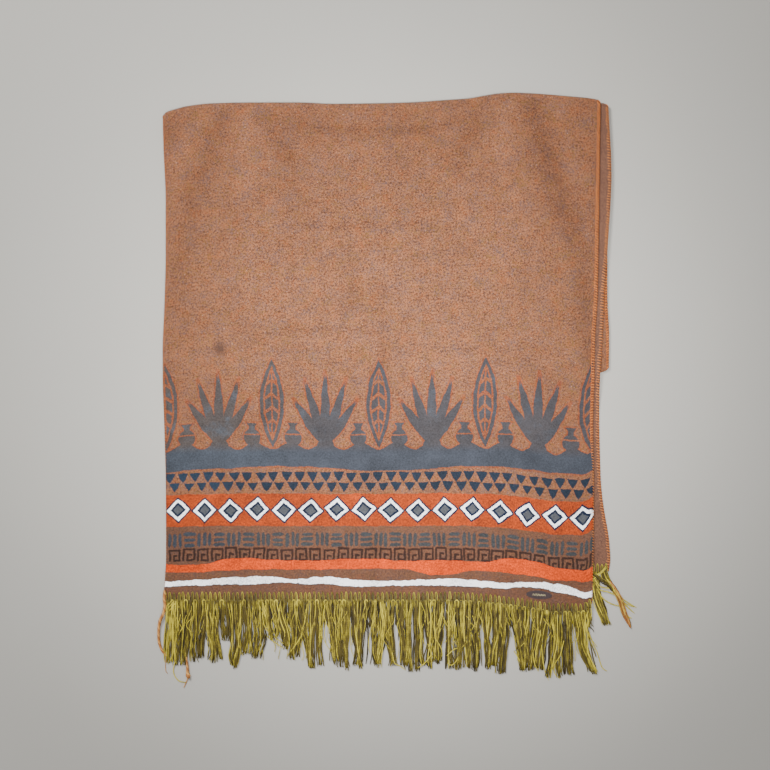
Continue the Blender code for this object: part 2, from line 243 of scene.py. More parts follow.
# Soft folds of the front layer: a low line of the cloth, its half width and its depth, or a raised one
# where the depth is below nothing
SOFT_FOLDS = table(
    "x0 y0 x1 y1 half deep",
    (-214, 672, -240, 567, 19, 0.5),
    (-240, 567, -262, 490, 17, 0.5),
    (-262, 490, -276, 400, 14, 0.35),
    (-228, 672, -274, 570, 13, -1.5),
    (-154, 650, -120, 594, 14, 0.5),
    (-120, 594, -112, 520, 17, 0.28),
    (-181, 668, -176, 560, 16, -1.7),
    (203, 672, 225, 594, 16, 0.65),
    (225, 594, 247, 530, 19, 0.6),
    (247, 530, 270, 455, 18, 0.55),
    (270, 455, 284, 330, 15, 0.6),
    (238, 680, 275, 570, 14, -1.5),
    (171, 668, 166, 580, 16, -1.5),
    (130, 640, 104, 585, 13, 0.5),
    (-172, 642, -40, 634, 7, 0.4),
    (-40, 634, 60, 632, 7, 0.5),
    (60, 632, 112, 646, 7, 0.35),
    (-132, 508, -58, 503, 6, 0.34),
    (-58, 503, 20, 507, 6, 0.26),
    (20, 507, 112, 502, 6, 0.3),
    (-106, 534, -64, 520, 15, 0.25),
    (-64, 544, -20, 534, 9, 0.22),
    (60, 536, 100, 534, 9, 0.3),
    (-128, 366, -30, 363, 5, 0.22),
    (-30, 363, 152, 365, 5, 0.26),
    (20, 350, 120, 338, 5, 0.2),
    (9, 500, 6, 430, 8, 0.25),
    (6, 430, 5, 300, 8, 0.45),
    (-40, 470, -34, 395, 11, 0.4),
    (28, 450, 60, 330, 22, -0.5),
)

# Slow waves that keep the front layer from lying dead flat: length across and up, start and height
SLOW_WAVES = table(
    "across up start high",
    (310, 420, 0.4, 0.22),
    (-170, 260, 2.1, 0.16),
    (95, -190, 4.0, 0.09),
    (-70, -85, 1.2, 0.05),
    (48, 66, 5.1, 0.035),
    (520, 19, 0.7, 0.035),
    (-260, 31, 3.3, 0.05),
)

# Where the soft folds and the slow waves set in up the cloth, and where both end near the outer fold
SOFT_FROM, WAVES_FROM, SOFT_TO = (250, 320), (60, 160), (-672, -640)

# Painted shade and highlight: how much darker the wool is made for each millimetre of a sunken fold, how much
# lighter for each of a raised one, and how much darker at the cloth's sides, between two distances from its
# middle
SUNK_SHADE, RAISED_SHADE = 0.33, 0.075
SIDE_SHADE, SIDE_FROM = 0.06, (140, 270)

# Groups of locks: where each hangs from, how far its tip leans to the right, and how far below nothing on
# the Y axis it reaches
FRONT_LOCKS = table(
    "root lean reach",
    (-284, -2, 88),
    (-273, 0, 91),
    (-258, 0, 87),
    (-240, -1, 82),
    (-224, 0, 84),
    (-210, 0, 58),
    (-192, -1, 92),
    (-178, 1, 77),
    (-165, 0, 82),
    (-151, 2, 54),
    (-135, 6, 66),
    (-110, 1, 80),
    (-90, 1, 92),
    (-62, 1, 86),
    (-46, 0, 94),
    (-30, 0, 92),
    (-15, -1, 46),
    (1, 0, 90),
    (15, 0, 92),
    (31, 1, 92),
    (46, 0, 100),
    (63, 0, 92),
    (81, 0, 86),
    (98, 0, 96),
    (112, -1, 94),
    (127, 0, 96),
    (147, 0, 97),
    (159, 0, 92),
    (171, 1, 103),
    (184, 5, 96),
    (198, 0, 98),
    (214, 1, 95),
    (230, 0, 98),
    (243, 0, 108),
    (255, 4, 104),
    (269, 20, 100),
    (284.5, -2, 36),
)
BACK_LOCKS = table(
    "root lean reach",
    (-262, 0, 30),
    (-225, 2, 36),
    (-190, 0, 32),
    (-155, -2, 38),
    (-118, 0, 33),
    (-80, 1, 37),
    (-42, 0, 31),
    (-5, -1, 36),
    (32, 0, 33),
    (70, 2, 38),
    (108, 0, 32),
    (146, 0, 36),
    (184, 1, 38),
    (222, 3, 33),
    (258, 6, 36),
    (288, 20, 37),
    (302, 38, 40),
    (311, 36, 14),
)

# The label
LABEL_AT = (216.5, 6.4)
LABEL_SIZE = (34.8, 11.2)
LABEL_TURN = math.radians(-4.0)
LABEL_THICK = 0.8


def read(rows, column, key, at):
    """The value of a column where the key column is `at`, on a rounded line through the rows.

    The line's slope at a row is the harmonic mean of the slopes on its two sides, or level where those
    differ in sign, so that the line never swings past a row.
    """
    keys, values = rows[key], rows[column]
    steps = np.diff(values) / np.diff(keys)
    before, after = np.concatenate((steps[:1], steps)), np.concatenate((steps, steps[-1:]))
    both = before * after > 0
    slopes = np.where(both, 2 * before * after / np.where(both, before + after, 1), 0)
    at = np.clip(at, keys[0], keys[-1])
    row = np.clip(np.searchsorted(keys, at) - 1, 0, len(keys) - 2)
    span = keys[row + 1] - keys[row]
    f = (at - keys[row]) / span
    ahead = f * f * (3 - 2 * f)
    leave = f * (1 - f) ** 2 * span * slopes[row]
    arrive = f * f * (f - 1) * span * slopes[row + 1]
    return values[row] * (1 - ahead) + values[row + 1] * ahead + leave + arrive


def ease(at, start, stop):
    """0 up to start and 1 from stop, with a soft step between."""
    f = np.clip((at - start) / (stop - start), 0, 1)
    return f * f * (3 - 2 * f)


def soft_folds(x, y):
    """How far the front layer lies above or below its plain height, from its soft folds."""
    low, high = np.zeros_like(x), np.zeros_like(x)
    for x0, y0, x1, y1, half, deep in zip(*SOFT_FOLDS.values()):
        run = np.array((x1 - x0, y1 - y0))
        length = np.hypot(*run)
        along = np.clip(((x - x0) * run[0] + (y - y0) * run[1]) / length**2, 0, 1)
        off = np.hypot(x - x0 - along * run[0], y - y0 - along * run[1])
        rise = -deep * np.exp(-((off / half) ** 2))
        low, high = np.minimum(low, rise), np.maximum(high, rise)
    return low + high


def slow_waves(x, y):
    """A sum of long plane waves: the height of each times the sine of its phase."""
    total = np.zeros_like(x)
    for across, up, start, high in zip(*SLOW_WAVES.values()):
        total += high * np.sin(2 * np.pi * (x / across + y / up) + start)
    return total


def soft_shade(x, y):
    """How much lighter or darker the wool looks: sunken folds and the cloth's two sides catch less light."""
    fold = soft_folds(x, y)
    return np.where(fold < 0, SUNK_SHADE, RAISED_SHADE) * fold - SIDE_SHADE * ease(np.abs(x), *SIDE_FROM)


def sunk(y):
    """How far the front and back layers lie below their full height."""
    return SINK * ease(-y, -SINK_FROM, SINK_LENGTH - SINK_FROM)


def front_height(x, y):
    """Height of the middle of the front layer."""
    level = FRONT_Z - sunk(y)
    level = level + (LIFT_Z - level) * ease(-y, -LIFT_FROM, -LIFT_BY)
    level = level + (END_Z - level) * ease(-y, -FALL_FROM, -FALL_BY)
    away = ease(y, *SOFT_FROM) * ease(-y, *SOFT_TO)
    calm = ease(y, *WAVES_FROM) * ease(-y, *SOFT_TO)
    return level + soft_folds(x, y) * away + slow_waves(x, y) * calm


def back_height(x, y):
    return BACK_Z - sunk(y)


def inner_height(x, y):
    return np.full_like(x, INNER_Z)


def floor_height(x, y):
    return np.full_like(x, FLOOR_Z)


def sides(rows, y):
    """Left and right edge of a layer at a height up the cloth. A layer with one known edge is WIDTH wide."""
    right = read(rows, "right", "up", y)
    left = read(rows, "left", "up", y) if "left" in rows else right - WIDTH
    return left, right


def line_across(rows, off=0.0):
    """A function that tells how far up the cloth a fold or an end lies at each place across."""

    def line(x):
        return read(rows, "up", "across", x) + off

    return line


# The middles of the three folds, each half its own height inside the cloth's outline, and the two ends
outer_centre = line_across(OUTER_FOLD, -(FRONT_Z - FLOOR_Z + THICK) / 2)
inner_centre = line_across(INNER_FOLD, -(LAYER_PITCH + THICK) / 2)
middle_centre = line_across(MIDDLE_FOLD, (LAYER_PITCH + THICK) / 2)
front_end = line_across(FRONT_END)
back_end = line_across(BACK_END)


def layer(rows, y, across, start, stop, start_line, stop_line, height):
    """A layer's points on a grid of plain heights y and shares across from 0 to 1.

    Each point lies at its share of the way between the layer's sides. It is moved up by the two end lines,
    weighed by how near its row is to each, and its height comes from the layer's own height function.
    """
    left, right = sides(rows, y[:, None])
    x = left + (right - left) * across[None, :]
    share = (y[:, None] - start) / (stop - start)
    up = y[:, None] + (1 - share) * (start_line(x) - start) + share * (stop_line(x) - stop)
    return np.stack((x, up, height(x, up)), axis=2)


def bend(rows, line, across, centre, low, radius, first, last, steps):
    """A fold's points: each row is turned by an even angle round the fold's line across the cloth.

    That line lies a radius above the lower of the two layers.
    """
    left, right = sides(rows, np.array(line))
    x = (left + (right - left) * across)[None, :]
    angle = np.linspace(first, last, steps)[:, None]
    y = centre(x) + radius * np.cos(angle)
    z = low + radius + radius * np.sin(angle) + 0 * x
    return np.stack((np.broadcast_to(x, y.shape), y, z), axis=2)


# The sheet's rows of points on its hidden layers and round its folds, and how much closer than even its
# columns stand at the long edges
DOWN_ROWS, UP_ROWS, BACK_ROWS = 34, 40, 92
OUTER_STEPS, FOLD_STEPS = 20, 10
CROWDED = 0.35


def cloth_grid(columns, front_rows):
    """The sheet's middle surface as rows of points, and how far along the cloth each row lies.

    The share of a column across the cloth is even, less a sine wave that draws it towards the nearer edge.
    """
    even = np.linspace(0, 1, columns)
    across = even - CROWDED * np.sin(2 * np.pi * even) / (2 * np.pi)
    quarter = math.pi / 2
    turn = (FRONT_Z - FLOOR_Z) / 2
    fold = LAYER_PITCH / 2

    front = np.linspace(FRONT_LINE, OUTER_LINE, front_rows, endpoint=False)
    down = np.linspace(OUTER_LINE, MIDDLE_LINE, DOWN_ROWS)[1:-1]
    up = np.linspace(MIDDLE_LINE, INNER_LINE, UP_ROWS)[1:-1]
    back = np.linspace(INNER_LINE, BACK_LINE, BACK_ROWS)[1:]
    arc = np.linspace(0, math.pi * turn, OUTER_STEPS)
    small = np.linspace(0, math.pi * fold, FOLD_STEPS)

    grids = [
        layer(FRONT_SIDES, front, across, FRONT_LINE, OUTER_LINE, front_end, outer_centre, front_height),
        bend(FRONT_SIDES, OUTER_LINE, across, outer_centre, FLOOR_Z, turn, quarter, -quarter, OUTER_STEPS),
        layer(FLOOR_SIDES, down, across, MIDDLE_LINE, OUTER_LINE, middle_centre, outer_centre, floor_height),
        bend(
            FLOOR_SIDES, MIDDLE_LINE, across, middle_centre, FLOOR_Z, fold, -quarter, -3 * quarter, FOLD_STEPS
        ),
        layer(INNER_SIDE, up, across, MIDDLE_LINE, INNER_LINE, middle_centre, inner_centre, inner_height),
        bend(BACK_SIDE, INNER_LINE, across, inner_centre, INNER_Z, fold, -quarter, quarter, FOLD_STEPS),
        layer(BACK_SIDE, back, across, BACK_LINE, INNER_LINE, back_end, inner_centre, back_height),
    ]
    floor_long, inner_long = OUTER_LINE - MIDDLE_LINE, INNER_LINE - MIDDLE_LINE
    stretches = [front, arc, OUTER_LINE - down, small, up - MIDDLE_LINE, small, INNER_LINE - back]
    starts = np.cumsum((0, OUTER_LINE, arc[-1], floor_long, small[-1], inner_long, small[-1]))
    along = np.concatenate([start + stretch for start, stretch in zip(starts, stretches)])
    return np.concatenate(grids), along, across


def unit(vectors):
    return vectors / np.linalg.norm(vectors, axis=-1, keepdims=True)


def directions(points, axis):
    """The way a grid runs along one axis: the mean of the unit steps before and after each point."""
    steps = np.moveaxis(unit(np.diff(points, axis=axis)), axis, 0)
    both = np.concatenate((steps[:1], steps)) + np.concatenate((steps, steps[-1:]))
    return np.moveaxis(unit(both), 0, axis)


def normals(grid):
    """The surface's normal at each point of a grid: the cross product of the ways across and along it."""
    return unit(np.cross(directions(grid, 1), directions(grid, 0)))


def lengths(points):
    """How far along a line each of its points lies."""
    return np.concatenate(((0,), np.cumsum(np.linalg.norm(np.diff(points, axis=0), axis=1))))


def grid_quads(rows, columns, first=0):
    """Faces between the points of a grid, in the order that turns from its columns to its rows."""
    one = first + np.arange(rows * columns).reshape(rows, columns)
    return np.stack((one[:-1, :-1], one[:-1, 1:], one[1:, 1:], one[1:, :-1]), axis=2).reshape(-1, 4)


def plan_to_frame():
    """What takes a point of the plan to the frame, in millimetres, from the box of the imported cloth."""
    low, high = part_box("cloth")
    return np.array((low.x / MM - FRONT_SIDES["left"].min(), high.y / MM - OUTER_FOLD["up"].max(), 0.0))


def put_mesh(name, points, faces, material, corners=None, values=None):
    """A mesh object from points in millimetres on the plan.

    faces is a list of index arrays, each with one face a row. corners holds a pair for each face corner, in
    the same order, for the UV map named along. values maps the name of an attribute to its value at each
    point.
    """
    mesh = bpy.data.meshes.new(name)
    sizes = np.concatenate([np.full(len(some), some.shape[1]) for some in faces])
    indices = np.concatenate([some.ravel() for some in faces])
    mesh.vertices.add(len(points))
    mesh.loops.add(len(indices))
    mesh.polygons.add(len(sizes))
    mesh.vertices.foreach_set("co", ((points + plan_to_frame()) * MM).astype(np.float32).ravel())
    mesh.loops.foreach_set("vertex_index", indices.astype(np.int32))
    mesh.polygons.foreach_set("loop_start", (np.cumsum(sizes) - sizes).astype(np.int32))
    mesh.update(calc_edges=True)
    if corners is not None:
        mesh.uv_layers.new(name="along").data.foreach_set("uv", corners.astype(np.float32).ravel())
    for title, value in (values or {}).items():
        attribute = mesh.attributes.new(title, "FLOAT", "POINT")
        attribute.data.foreach_set("value", value.astype(np.float32).ravel())
    mesh.materials.append(material)
    mesh.shade_smooth()
    made = bpy.data.objects.new(name, mesh)
    bpy.context.scene.collection.objects.link(made)
    return made


def tubes(paths, radius, sides_count=5, reference=(0, 0, 1), flat=1.0):
    """Closed tubes round many paths of equal length.

    paths is [tube, step, 3] and radius [tube, step], or one number. At each step a ring of points lies in the
    plane across the path: out by the radius times the cosine of its angle along the side direction, and by
    the radius times flat times its sine along the upper one. Each end closes on a point just past it.
    Gives points, quads, triangles, and for each face corner its share round the tube and the length along it.
    """
    tubes_count, steps = paths.shape[:2]
    radius = np.broadcast_to(radius, (tubes_count, steps))
    ahead = directions(paths, 1)
    side = unit(np.cross(ahead, np.array(reference, float)))
    over = np.cross(side, ahead)
    angle = np.arange(sides_count) * 2 * np.pi / sides_count
    ring = side[:, :, None] * np.cos(angle)[:, None] + over[:, :, None] * np.sin(angle)[:, None] * flat
    wall = paths[:, :, None] + ring * radius[:, :, None, None]
    past = 0.6 * radius[..., None] * ahead
    poles = np.stack((paths[:, 0] - past[:, 0], paths[:, -1] + past[:, -1]), axis=1)
    points = np.concatenate((wall.reshape(tubes_count, -1, 3), poles), axis=1)

    one = np.arange(steps * sides_count).reshape(steps, sides_count)
    turned = np.roll(one, -1, axis=1)
    quads = np.stack((one[:-1], one[1:], turned[1:], turned[:-1]), axis=2).reshape(-1, 4)
    first, last = steps * sides_count, steps * sides_count + 1
    start = np.stack((one[0], turned[0], np.full(sides_count, first)), axis=1)
    stop = np.stack((turned[-1], one[-1], np.full(sides_count, last)), axis=1)
    triangles = np.concatenate((start, stop))
    offset = (np.arange(tubes_count) * points.shape[1])[:, None, None]

    length = np.cumsum(np.linalg.norm(np.diff(paths, axis=1), axis=2), axis=1)
    length = np.concatenate((np.zeros((tubes_count, 1)), length), axis=1) * MM
    share = np.arange(sides_count + 1) / sides_count
    here, ahead_of = length[:, :-1], length[:, 1:]
    corner_u = np.stack((share[:-1], share[:-1], share[1:], share[1:]), axis=1)
    corner_v = np.stack((here, ahead_of, ahead_of, here), axis=2)
    quad_uv = np.stack(
        np.broadcast_arrays(corner_u[None, None], corner_v[:, :, None, :]), axis=4
    ).reshape(tubes_count, -1, 2)
    end_u = np.stack((share[:-1], share[1:], share[:-1]), axis=1)
    end_u = np.concatenate((end_u, end_u))
    end_v = np.repeat(length[:, [0, -1]], sides_count, axis=1)[:, :, None] + 0 * end_u[None]
    end_uv = np.stack(np.broadcast_arrays(end_u[None], end_v), axis=3).reshape(tubes_count, -1, 2)
    return {
        "points": points.reshape(-1, 3),
        "each": points.shape[1],
        "quads": (quads[None] + offset).reshape(-1, 4),
        "triangles": (triangles[None] + offset).reshape(-1, 3),
        "quad_uv": quad_uv.reshape(-1, 2),
        "end_uv": end_uv.reshape(-1, 2),
    }


def join_tubes(name, bundles, material):
    """One mesh of several bundles, each a pair of tubes and the tone of every tube in it."""
    shift = 0
    points, quads, triangles, quad_uv, end_uv, tones = [], [], [], [], [], []
    for made, tone in bundles:
        points.append(made["points"])
        quads.append(made["quads"] + shift)
        triangles.append(made["triangles"] + shift)
        quad_uv.append(made["quad_uv"])
        end_uv.append(made["end_uv"])
        count = len(made["points"]) // made["each"]
        tones.append(np.repeat(np.broadcast_to(tone, count), made["each"]))
        shift += len(made["points"])
    corners = np.concatenate(quad_uv + end_uv)
    faces = [np.concatenate(quads), np.concatenate(triangles)]
    return put_mesh(name, np.concatenate(points), faces, material, corners, {"tone": np.concatenate(tones)})


def ride(piece, slot, *nodes):
    """The piece moves with the body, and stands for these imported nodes."""
    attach(piece, BODY)
    if nodes:
        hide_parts(*nodes)
    return piece


def cloth_piece(grid, along, across, material):
    """The sheet as one closed mesh: its middle surface pushed out by half the thickness on both sides.

    The push follows the surface's normal. Faces join the two sides all round the rim. The attribute painted
    is 1 on the painted side, and shade puts painted shade and highlight on that side of the front layer, by
    its folds and its two sides.
    """
    over = normals(grid)
    rows, columns = grid.shape[:2]
    points = np.concatenate([(grid + over * way * THICK / 2).reshape(-1, 3) for way in (1, -1)])
    points[:, 2] = np.maximum(points[:, 2], 0)
    count = rows * columns
    painted = grid_quads(rows, columns)
    plain = grid_quads(rows, columns, count)[:, ::-1]
    index = np.arange(count).reshape(rows, columns)
    rims = [painted, plain]
    for line in (index[0][::-1], index[-1], index[:, 0], index[:, -1][::-1]):
        rims.append(np.stack((line[:-1], line[1:], line[1:] + count, line[:-1] + count), axis=1))
    faces = np.concatenate(rims)
    place = np.stack(np.meshgrid((across - 0.5) * WIDTH * MM, along * MM), axis=2).reshape(-1, 2)
    corners = np.concatenate((place, place))[faces].reshape(-1, 2)
    side = np.concatenate((np.ones(count), np.zeros(count)))
    shade = soft_shade(grid[..., 0], grid[..., 1]) * (along < OUTER_LINE)[:, None]
    values = {"painted": side, "shade": np.concatenate((shade.ravel(), np.zeros(count)))}
    return put_mesh("stole_cloth", points, [faces], material, corners, values)


# The edge stitches show less beside the painted bands: their share there, and where along the edge they grow
EDGE_NARROW, EDGE_GROWS = 0.38, (165, 250)

# Points on each stitch of the overlock and on each swing of a straight thread
STITCH_POINTS, SWING_POINTS = 11, 8

# How uneven the overlock is: at how many places, by what part of a radian, and by what share of its width
UNEVEN_PLACES, UNEVEN_TURN, UNEVEN_WIDE = 600, 0.5, 0.12


def along_edge(grid, column, pitch, samples):
    """Even steps along the sheet's long edge: how far, the point, the way out, the normal and the share."""
    outward = directions(grid, 1)[:, column] * (1 if column else -1)
    edge = grid[:, column]
    length = lengths(edge)
    at = np.linspace(0, length[-1], int(length[-1] / pitch * samples))
    point, out, over = (
        np.stack([np.interp(at, length, part) for part in line.T], axis=1)
        for line in (edge, outward, normals(grid)[:, column])
    )
    grow = EDGE_NARROW + (1 - EDGE_NARROW) * ease(at, *EDGE_GROWS)
    return at, point, unit(out), unit(over), grow


def overlock(grid, column, rng, pitch, wide, high, radius, overhang):
    """Thread wound round the sheet's edge: a helix whose turns are ovals of half width and half height.

    Each point lies out from the edge by the half width times the cosine of its angle, less what the oval
    is set in, and up by the half height times the sine. The angle grows by a whole turn each pitch.
    """
    at, edge, out, over, grow = along_edge(grid, column, pitch, STITCH_POINTS)
    places = np.linspace(0, at[-1], UNEVEN_PLACES)
    uneven = np.interp(at, places, rng.normal(0, 1, UNEVEN_PLACES))
    angle = 2 * np.pi * at / pitch + UNEVEN_TURN * uneven
    reach = wide * (1 + UNEVEN_WIDE * uneven) * grow
    aside = overhang - reach + reach * np.cos(angle)
    path = edge + out * aside[:, None] + over * (high * np.sin(angle))[:, None]
    path[:, 2] = np.maximum(path[:, 2], radius)
    run = unit(np.gradient(edge, axis=0))
    return tubes(path[None], (radius * (0.6 + 0.4 * grow))[None], reference=run[None])


def edge_thread(grid, column, pitch, radius, overhang, lift, swing):
    """A thread that lies along the edge and swings to and fro over the stitches, by a sine of each pitch."""
    at, edge, out, over, grow = along_edge(grid, column, pitch, SWING_POINTS)
    sway = swing * np.sin(2 * np.pi * at / pitch)
    path = edge + out * ((overhang + sway) * grow)[:, None] + over * (lift * grow)[:, None]
    path[:, 2] = np.maximum(path[:, 2], radius)
    return tubes(path[None], (radius * grow)[None], reference=over[None])


def cells(rows, line):
    """Left and right of even cells, about a loop's pitch wide, that fill a layer's width at a line."""
    left, right = (float(side) for side in sides(rows, np.array(line)))
    lines = np.linspace(left, right, round((right - left) / LOOP_PITCH) + 1)
    return np.stack((lines[:-1], lines[1:]), axis=1)


def lock_underside(y):
    """Height of the underside of the front locks: over the back fringe, then down to the surface."""
    start = END_Z - THICK / 2
    over = FLOOR_Z + THICK / 2 + GAP
    level = start + (over - start) * ease(-y, -ROOT_LINE, -SETTLE_FROM)
    return level * (1 - ease(-y, -SETTLE_FROM, -SETTLE_BY))


def on_surface(y):
    """Height of the underside of yarn that lies on the surface."""
    return 0 * y


def wander(rng, count, at, waves, size):
    """Slow random curves, one a row: sines of random phase and height, lower the more waves they have."""
    total = np.zeros((count, at.shape[-1]))
    for number in waves:
        phase = rng.uniform(0, 2 * np.pi, (count, 1))
        height = rng.normal(0, size / number, (count, 1))
        total += height * (np.sin(2 * np.pi * number * at + phase) - np.sin(phase))
    return total


# The hanging yarns, in millimetres: how ragged their ends are, how much sooner those at the sides of a group
# end, how far the longest pass its reach, how far a tip strays and flares, and how far the group, the cell
# and the yarn itself wander and kink
RAGGED, SIDES_SHORTER, PAST_REACH = 2.4, 4.0, 2.5
TIP_STRAYS, TIP_FLARES = 0.9, 1.3
GROUP_WANDERS, CELL_WANDERS, YARN_WANDERS, YARN_KINKS = 0.9, 1.2, 0.6, 0.2

# The share of yarns that stop short, and the shares of their way between which they stop
SHORT_SHARE, SHORT_STOPS = 0.07, (0.35, 0.9)

# Shares of the pitch that a bundle fills at its root, gains as it opens out, and keeps at its tip
ROOT_FILLS, OPENS_BY, TIP_FILLS = 0.6, 0.45, 0.8

# Tone of the lowest yarn, how much lighter the topmost is and how much it varies, and how much lighter the
# yarns of the outermost cells are. The lower yarns are darker as painted shade between the yarns.
LOW_TONE, TONE_RISES, TONE_VARIES, OUTER_LIGHTER, OUTER_CELLS = 0.06, 0.54, 0.16, 0.22, 3


def yarns(rng, edges, end, locks, under, each, steps, radius, rise):
    """The hanging yarn of a fringe: `each` yarns for every cell, with `steps` points on each.

    A yarn starts gathered between two loops, opens out, and is drawn towards the tip of its group of locks by
    1 - (1 - s) to a power of the share s of its length. It leans with its group, and wanders with its
    group, with its cell and by itself. Its height is the fringe's underside, its own level in the bundle
    and a dome over the middle of the cell.
    """
    middles, pitch = edges.mean(axis=1), edges[0, 1] - edges[0, 0]
    group = np.abs(middles[:, None] - locks["root"]).argmin(axis=1)
    first = np.searchsorted(group, np.arange(len(locks["root"])), side="left")
    last = np.searchsorted(group, np.arange(len(locks["root"])), side="right") - 1
    number = np.arange(len(middles))
    in_group = number - (first + last)[group] / 2
    half_group = np.maximum((last - first)[group] / 2, 0.5)

    cell = np.repeat(number, each)
    count = len(cell)
    place = (np.tile(np.arange(each), len(middles)) + rng.uniform(0.15, 0.85, count)) / each - 0.5
    level = rng.permuted(np.tile(np.linspace(0, 1, each), (len(middles), 1)), axis=1).ravel()
    s = np.linspace(0, 1, steps) ** 1.1

    ragged = rng.exponential(RAGGED, count) + SIDES_SHORTER * (in_group[cell] / half_group[cell]) ** 2
    short = rng.uniform(size=count) < SHORT_SHARE
    reach = locks["reach"][group[cell]] + PAST_REACH - ragged
    start = end(middles[cell]) - 0.7
    tip = np.where(short, start - (start + reach) * rng.uniform(*SHORT_STOPS, count), -reach)
    y = start[:, None] + (tip - start)[:, None] * s

    drawn = 1 - (1 - s) ** DRAW_EARLY
    opened = pitch * (ROOT_FILLS + OPENS_BY * ease(s, 0.06, 0.4))
    x_open = middles[cell][:, None] + place[:, None] * opened
    tip_place = locks["root"][group[cell]] + in_group[cell] * TIP_SHARE * pitch + place * pitch * TIP_FILLS
    tip_place = tip_place + rng.normal(0, TIP_STRAYS, count)
    lean = locks["lean"][group[cell]]
    x = x_open * (1 - drawn) + tip_place[:, None] * drawn + lean[:, None] * s
    x += (wander(rng, len(locks["root"]), s, (0.5, 1), GROUP_WANDERS) * s)[group[cell]]
    x += (wander(rng, len(middles), s, (0.5, 1, 2), CELL_WANDERS) * s**0.6)[cell]
    x += wander(rng, count, s, (0.5, 1, 2, 3), YARN_WANDERS) * ease(s, 0.02, 0.3)
    x += wander(rng, count, s, (4, 5, 6), YARN_KINKS) * ease(s, 0.05, 0.3)
    flare = np.maximum(s - 0.8, 0) / 0.2
    x += rng.normal(0, TIP_FLARES, (count, 1)) * flare**2

    dome = 0.5 * (1 - (2 * place) ** 2)
    thin = 1 - 0.35 * s
    z = under(y) + radius + rise * (0.75 * level + 0.25 * dome)[:, None] * thin
    z += np.abs(wander(rng, count, s, (1, 2, 3), 0.12))
    thick = radius * rng.uniform(0.8, 1.15, (count, 1)) * (1 - 0.45 * ease(s, 0.88, 1.0))
    z = np.maximum(z, thick + 0.02)
    outer = np.minimum(cell, number[-1] - cell) < OUTER_CELLS
    # The lower a yarn lies in its bundle, the darker its tone: painted shade between the yarns
    tone = LOW_TONE + TONE_RISES * level + rng.normal(0, TONE_VARIES, count) + OUTER_LIGHTER * outer
    return tubes(np.stack((x, y, z), axis=2), thick), np.clip(tone, 0, 1)


# Half the width of a loop, at shares of its length from its foot to its tip
LOOP_FORM = table(
    "share wide",
    (0.0, 1.8),
    (0.12, 2.15),
    (0.35, 2.3),
    (0.62, 2.0),
    (0.82, 1.4),
    (0.94, 0.85),
    (1.0, 0.45),
)
LOOP_FLAT, LOOP_WIDER = 0.42, 1.02

# A loop starts this far below the cloth's end. Its rim is a thread this high over its middle, this much of
# its width aside, this much of its length up, and this much lighter, as a painted highlight on the loop's tip
# and right side.
LOOP_BELOW = 1.8
RIM_OVER, RIM_ASIDE, RIM_UP, LOOP_TONE, RIM_HIGHLIGHT = 0.45, 0.8, 0.97, 0.36, 0.36


def loop_half(share):
    return np.interp(share, LOOP_FORM["share"], LOOP_FORM["wide"])


def loops(rng, edges, end, height, length):
    """The yarn looped over the cloth's end: for each cell a flat tongue that narrows to a round tip.

    It lies on the cloth by its own half thickness, which is its half width times LOOP_FLAT, and leans a
    little. Its length and width vary from cell to cell. The rim's thread runs up the left side and down the
    right, thickens on its way and is lighter than the loop: a painted highlight on the tip and right side.
    """
    middle = edges.mean(axis=1)[:, None]
    s = np.linspace(0, 1, 15)
    long = length * rng.uniform(0.93, 1.06, middle.shape)
    y = end(middle) - LOOP_BELOW + long * s
    x = middle + rng.normal(0, 0.2, middle.shape) + rng.normal(0, 0.35, middle.shape) * s
    half = loop_half(s) * LOOP_WIDER * rng.uniform(0.88, 1.06, middle.shape)
    z = height(x, np.maximum(y, end(x))) + THICK / 2 + GAP + half * LOOP_FLAT
    tone = np.clip(LOOP_TONE + rng.normal(0, 0.08, len(middle)), 0, 1)
    body = tubes(np.stack((x, y, z), axis=2), half, 12, flat=LOOP_FLAT)

    turn = np.linspace(0, 1, 21)
    up = 1.0 - np.abs(2 * turn - 1) ** 1.6
    aside = np.where(turn < 0.5, -1, 1) * loop_half(up) * RIM_ASIDE * (up < 1)
    at = up * RIM_UP
    rim_x = np.stack([np.interp(at, s, line) for line in x]) + aside
    rim_y = end(middle) - LOOP_BELOW + long * at
    rim_z = np.stack([np.interp(at, s, line) for line in z]) + RIM_OVER
    thick = 0.12 + 0.34 * ease(turn, 0.1, 0.55)
    rim = tubes(np.stack((rim_x, rim_y, rim_z), axis=2), thick[None])
    return (body, tone), (rim, np.clip(tone + RIM_HIGHLIGHT, 0, 1))


# The arches at the roots: half width, how far below the cloth's end, and tone; and the share of an arch's
# thread that is bowed, the rest being its legs
ARCHES = table("wide low tone", (2.1, 0.3, 0.62), (0.8, 1.7, 0.44))
BOWED = 0.45


def arches(rng, edges, end, radius):
    """The yarn where it comes over the cloth's end between two loops: two small arches, one in the other.

    An arch is half a circle whose ends run on down the bundle as two straight legs.
    """
    turn = np.linspace(-1, 1, 15)
    bow = np.clip(turn / BOWED, -1, 1) * math.pi / 2
    leg = np.maximum(np.abs(turn) - BOWED, 0) / (1 - BOWED)
    middle = edges[:-1, 1:]
    made = []
    for wide, low, tone in zip(*ARCHES.values()):
        half = wide * rng.uniform(0.85, 1.15, middle.shape)
        drop = rng.uniform(5, 13, middle.shape)
        x = middle + rng.normal(0, 0.35, middle.shape) + half * np.sin(bow) * (1 - 0.25 * leg)
        y = end(middle) - low - half * (1 - np.cos(bow)) - drop * leg
        z = lock_underside(y) + 2.9 - 1.1 * leg
        thick = radius * (1.15 - 0.35 * leg) + 0 * x
        shade = np.clip(tone + rng.normal(0, 0.12, len(middle)), 0, 1)
        made.append((tubes(np.stack((x, y, z), axis=2), thick), shade))
    return made


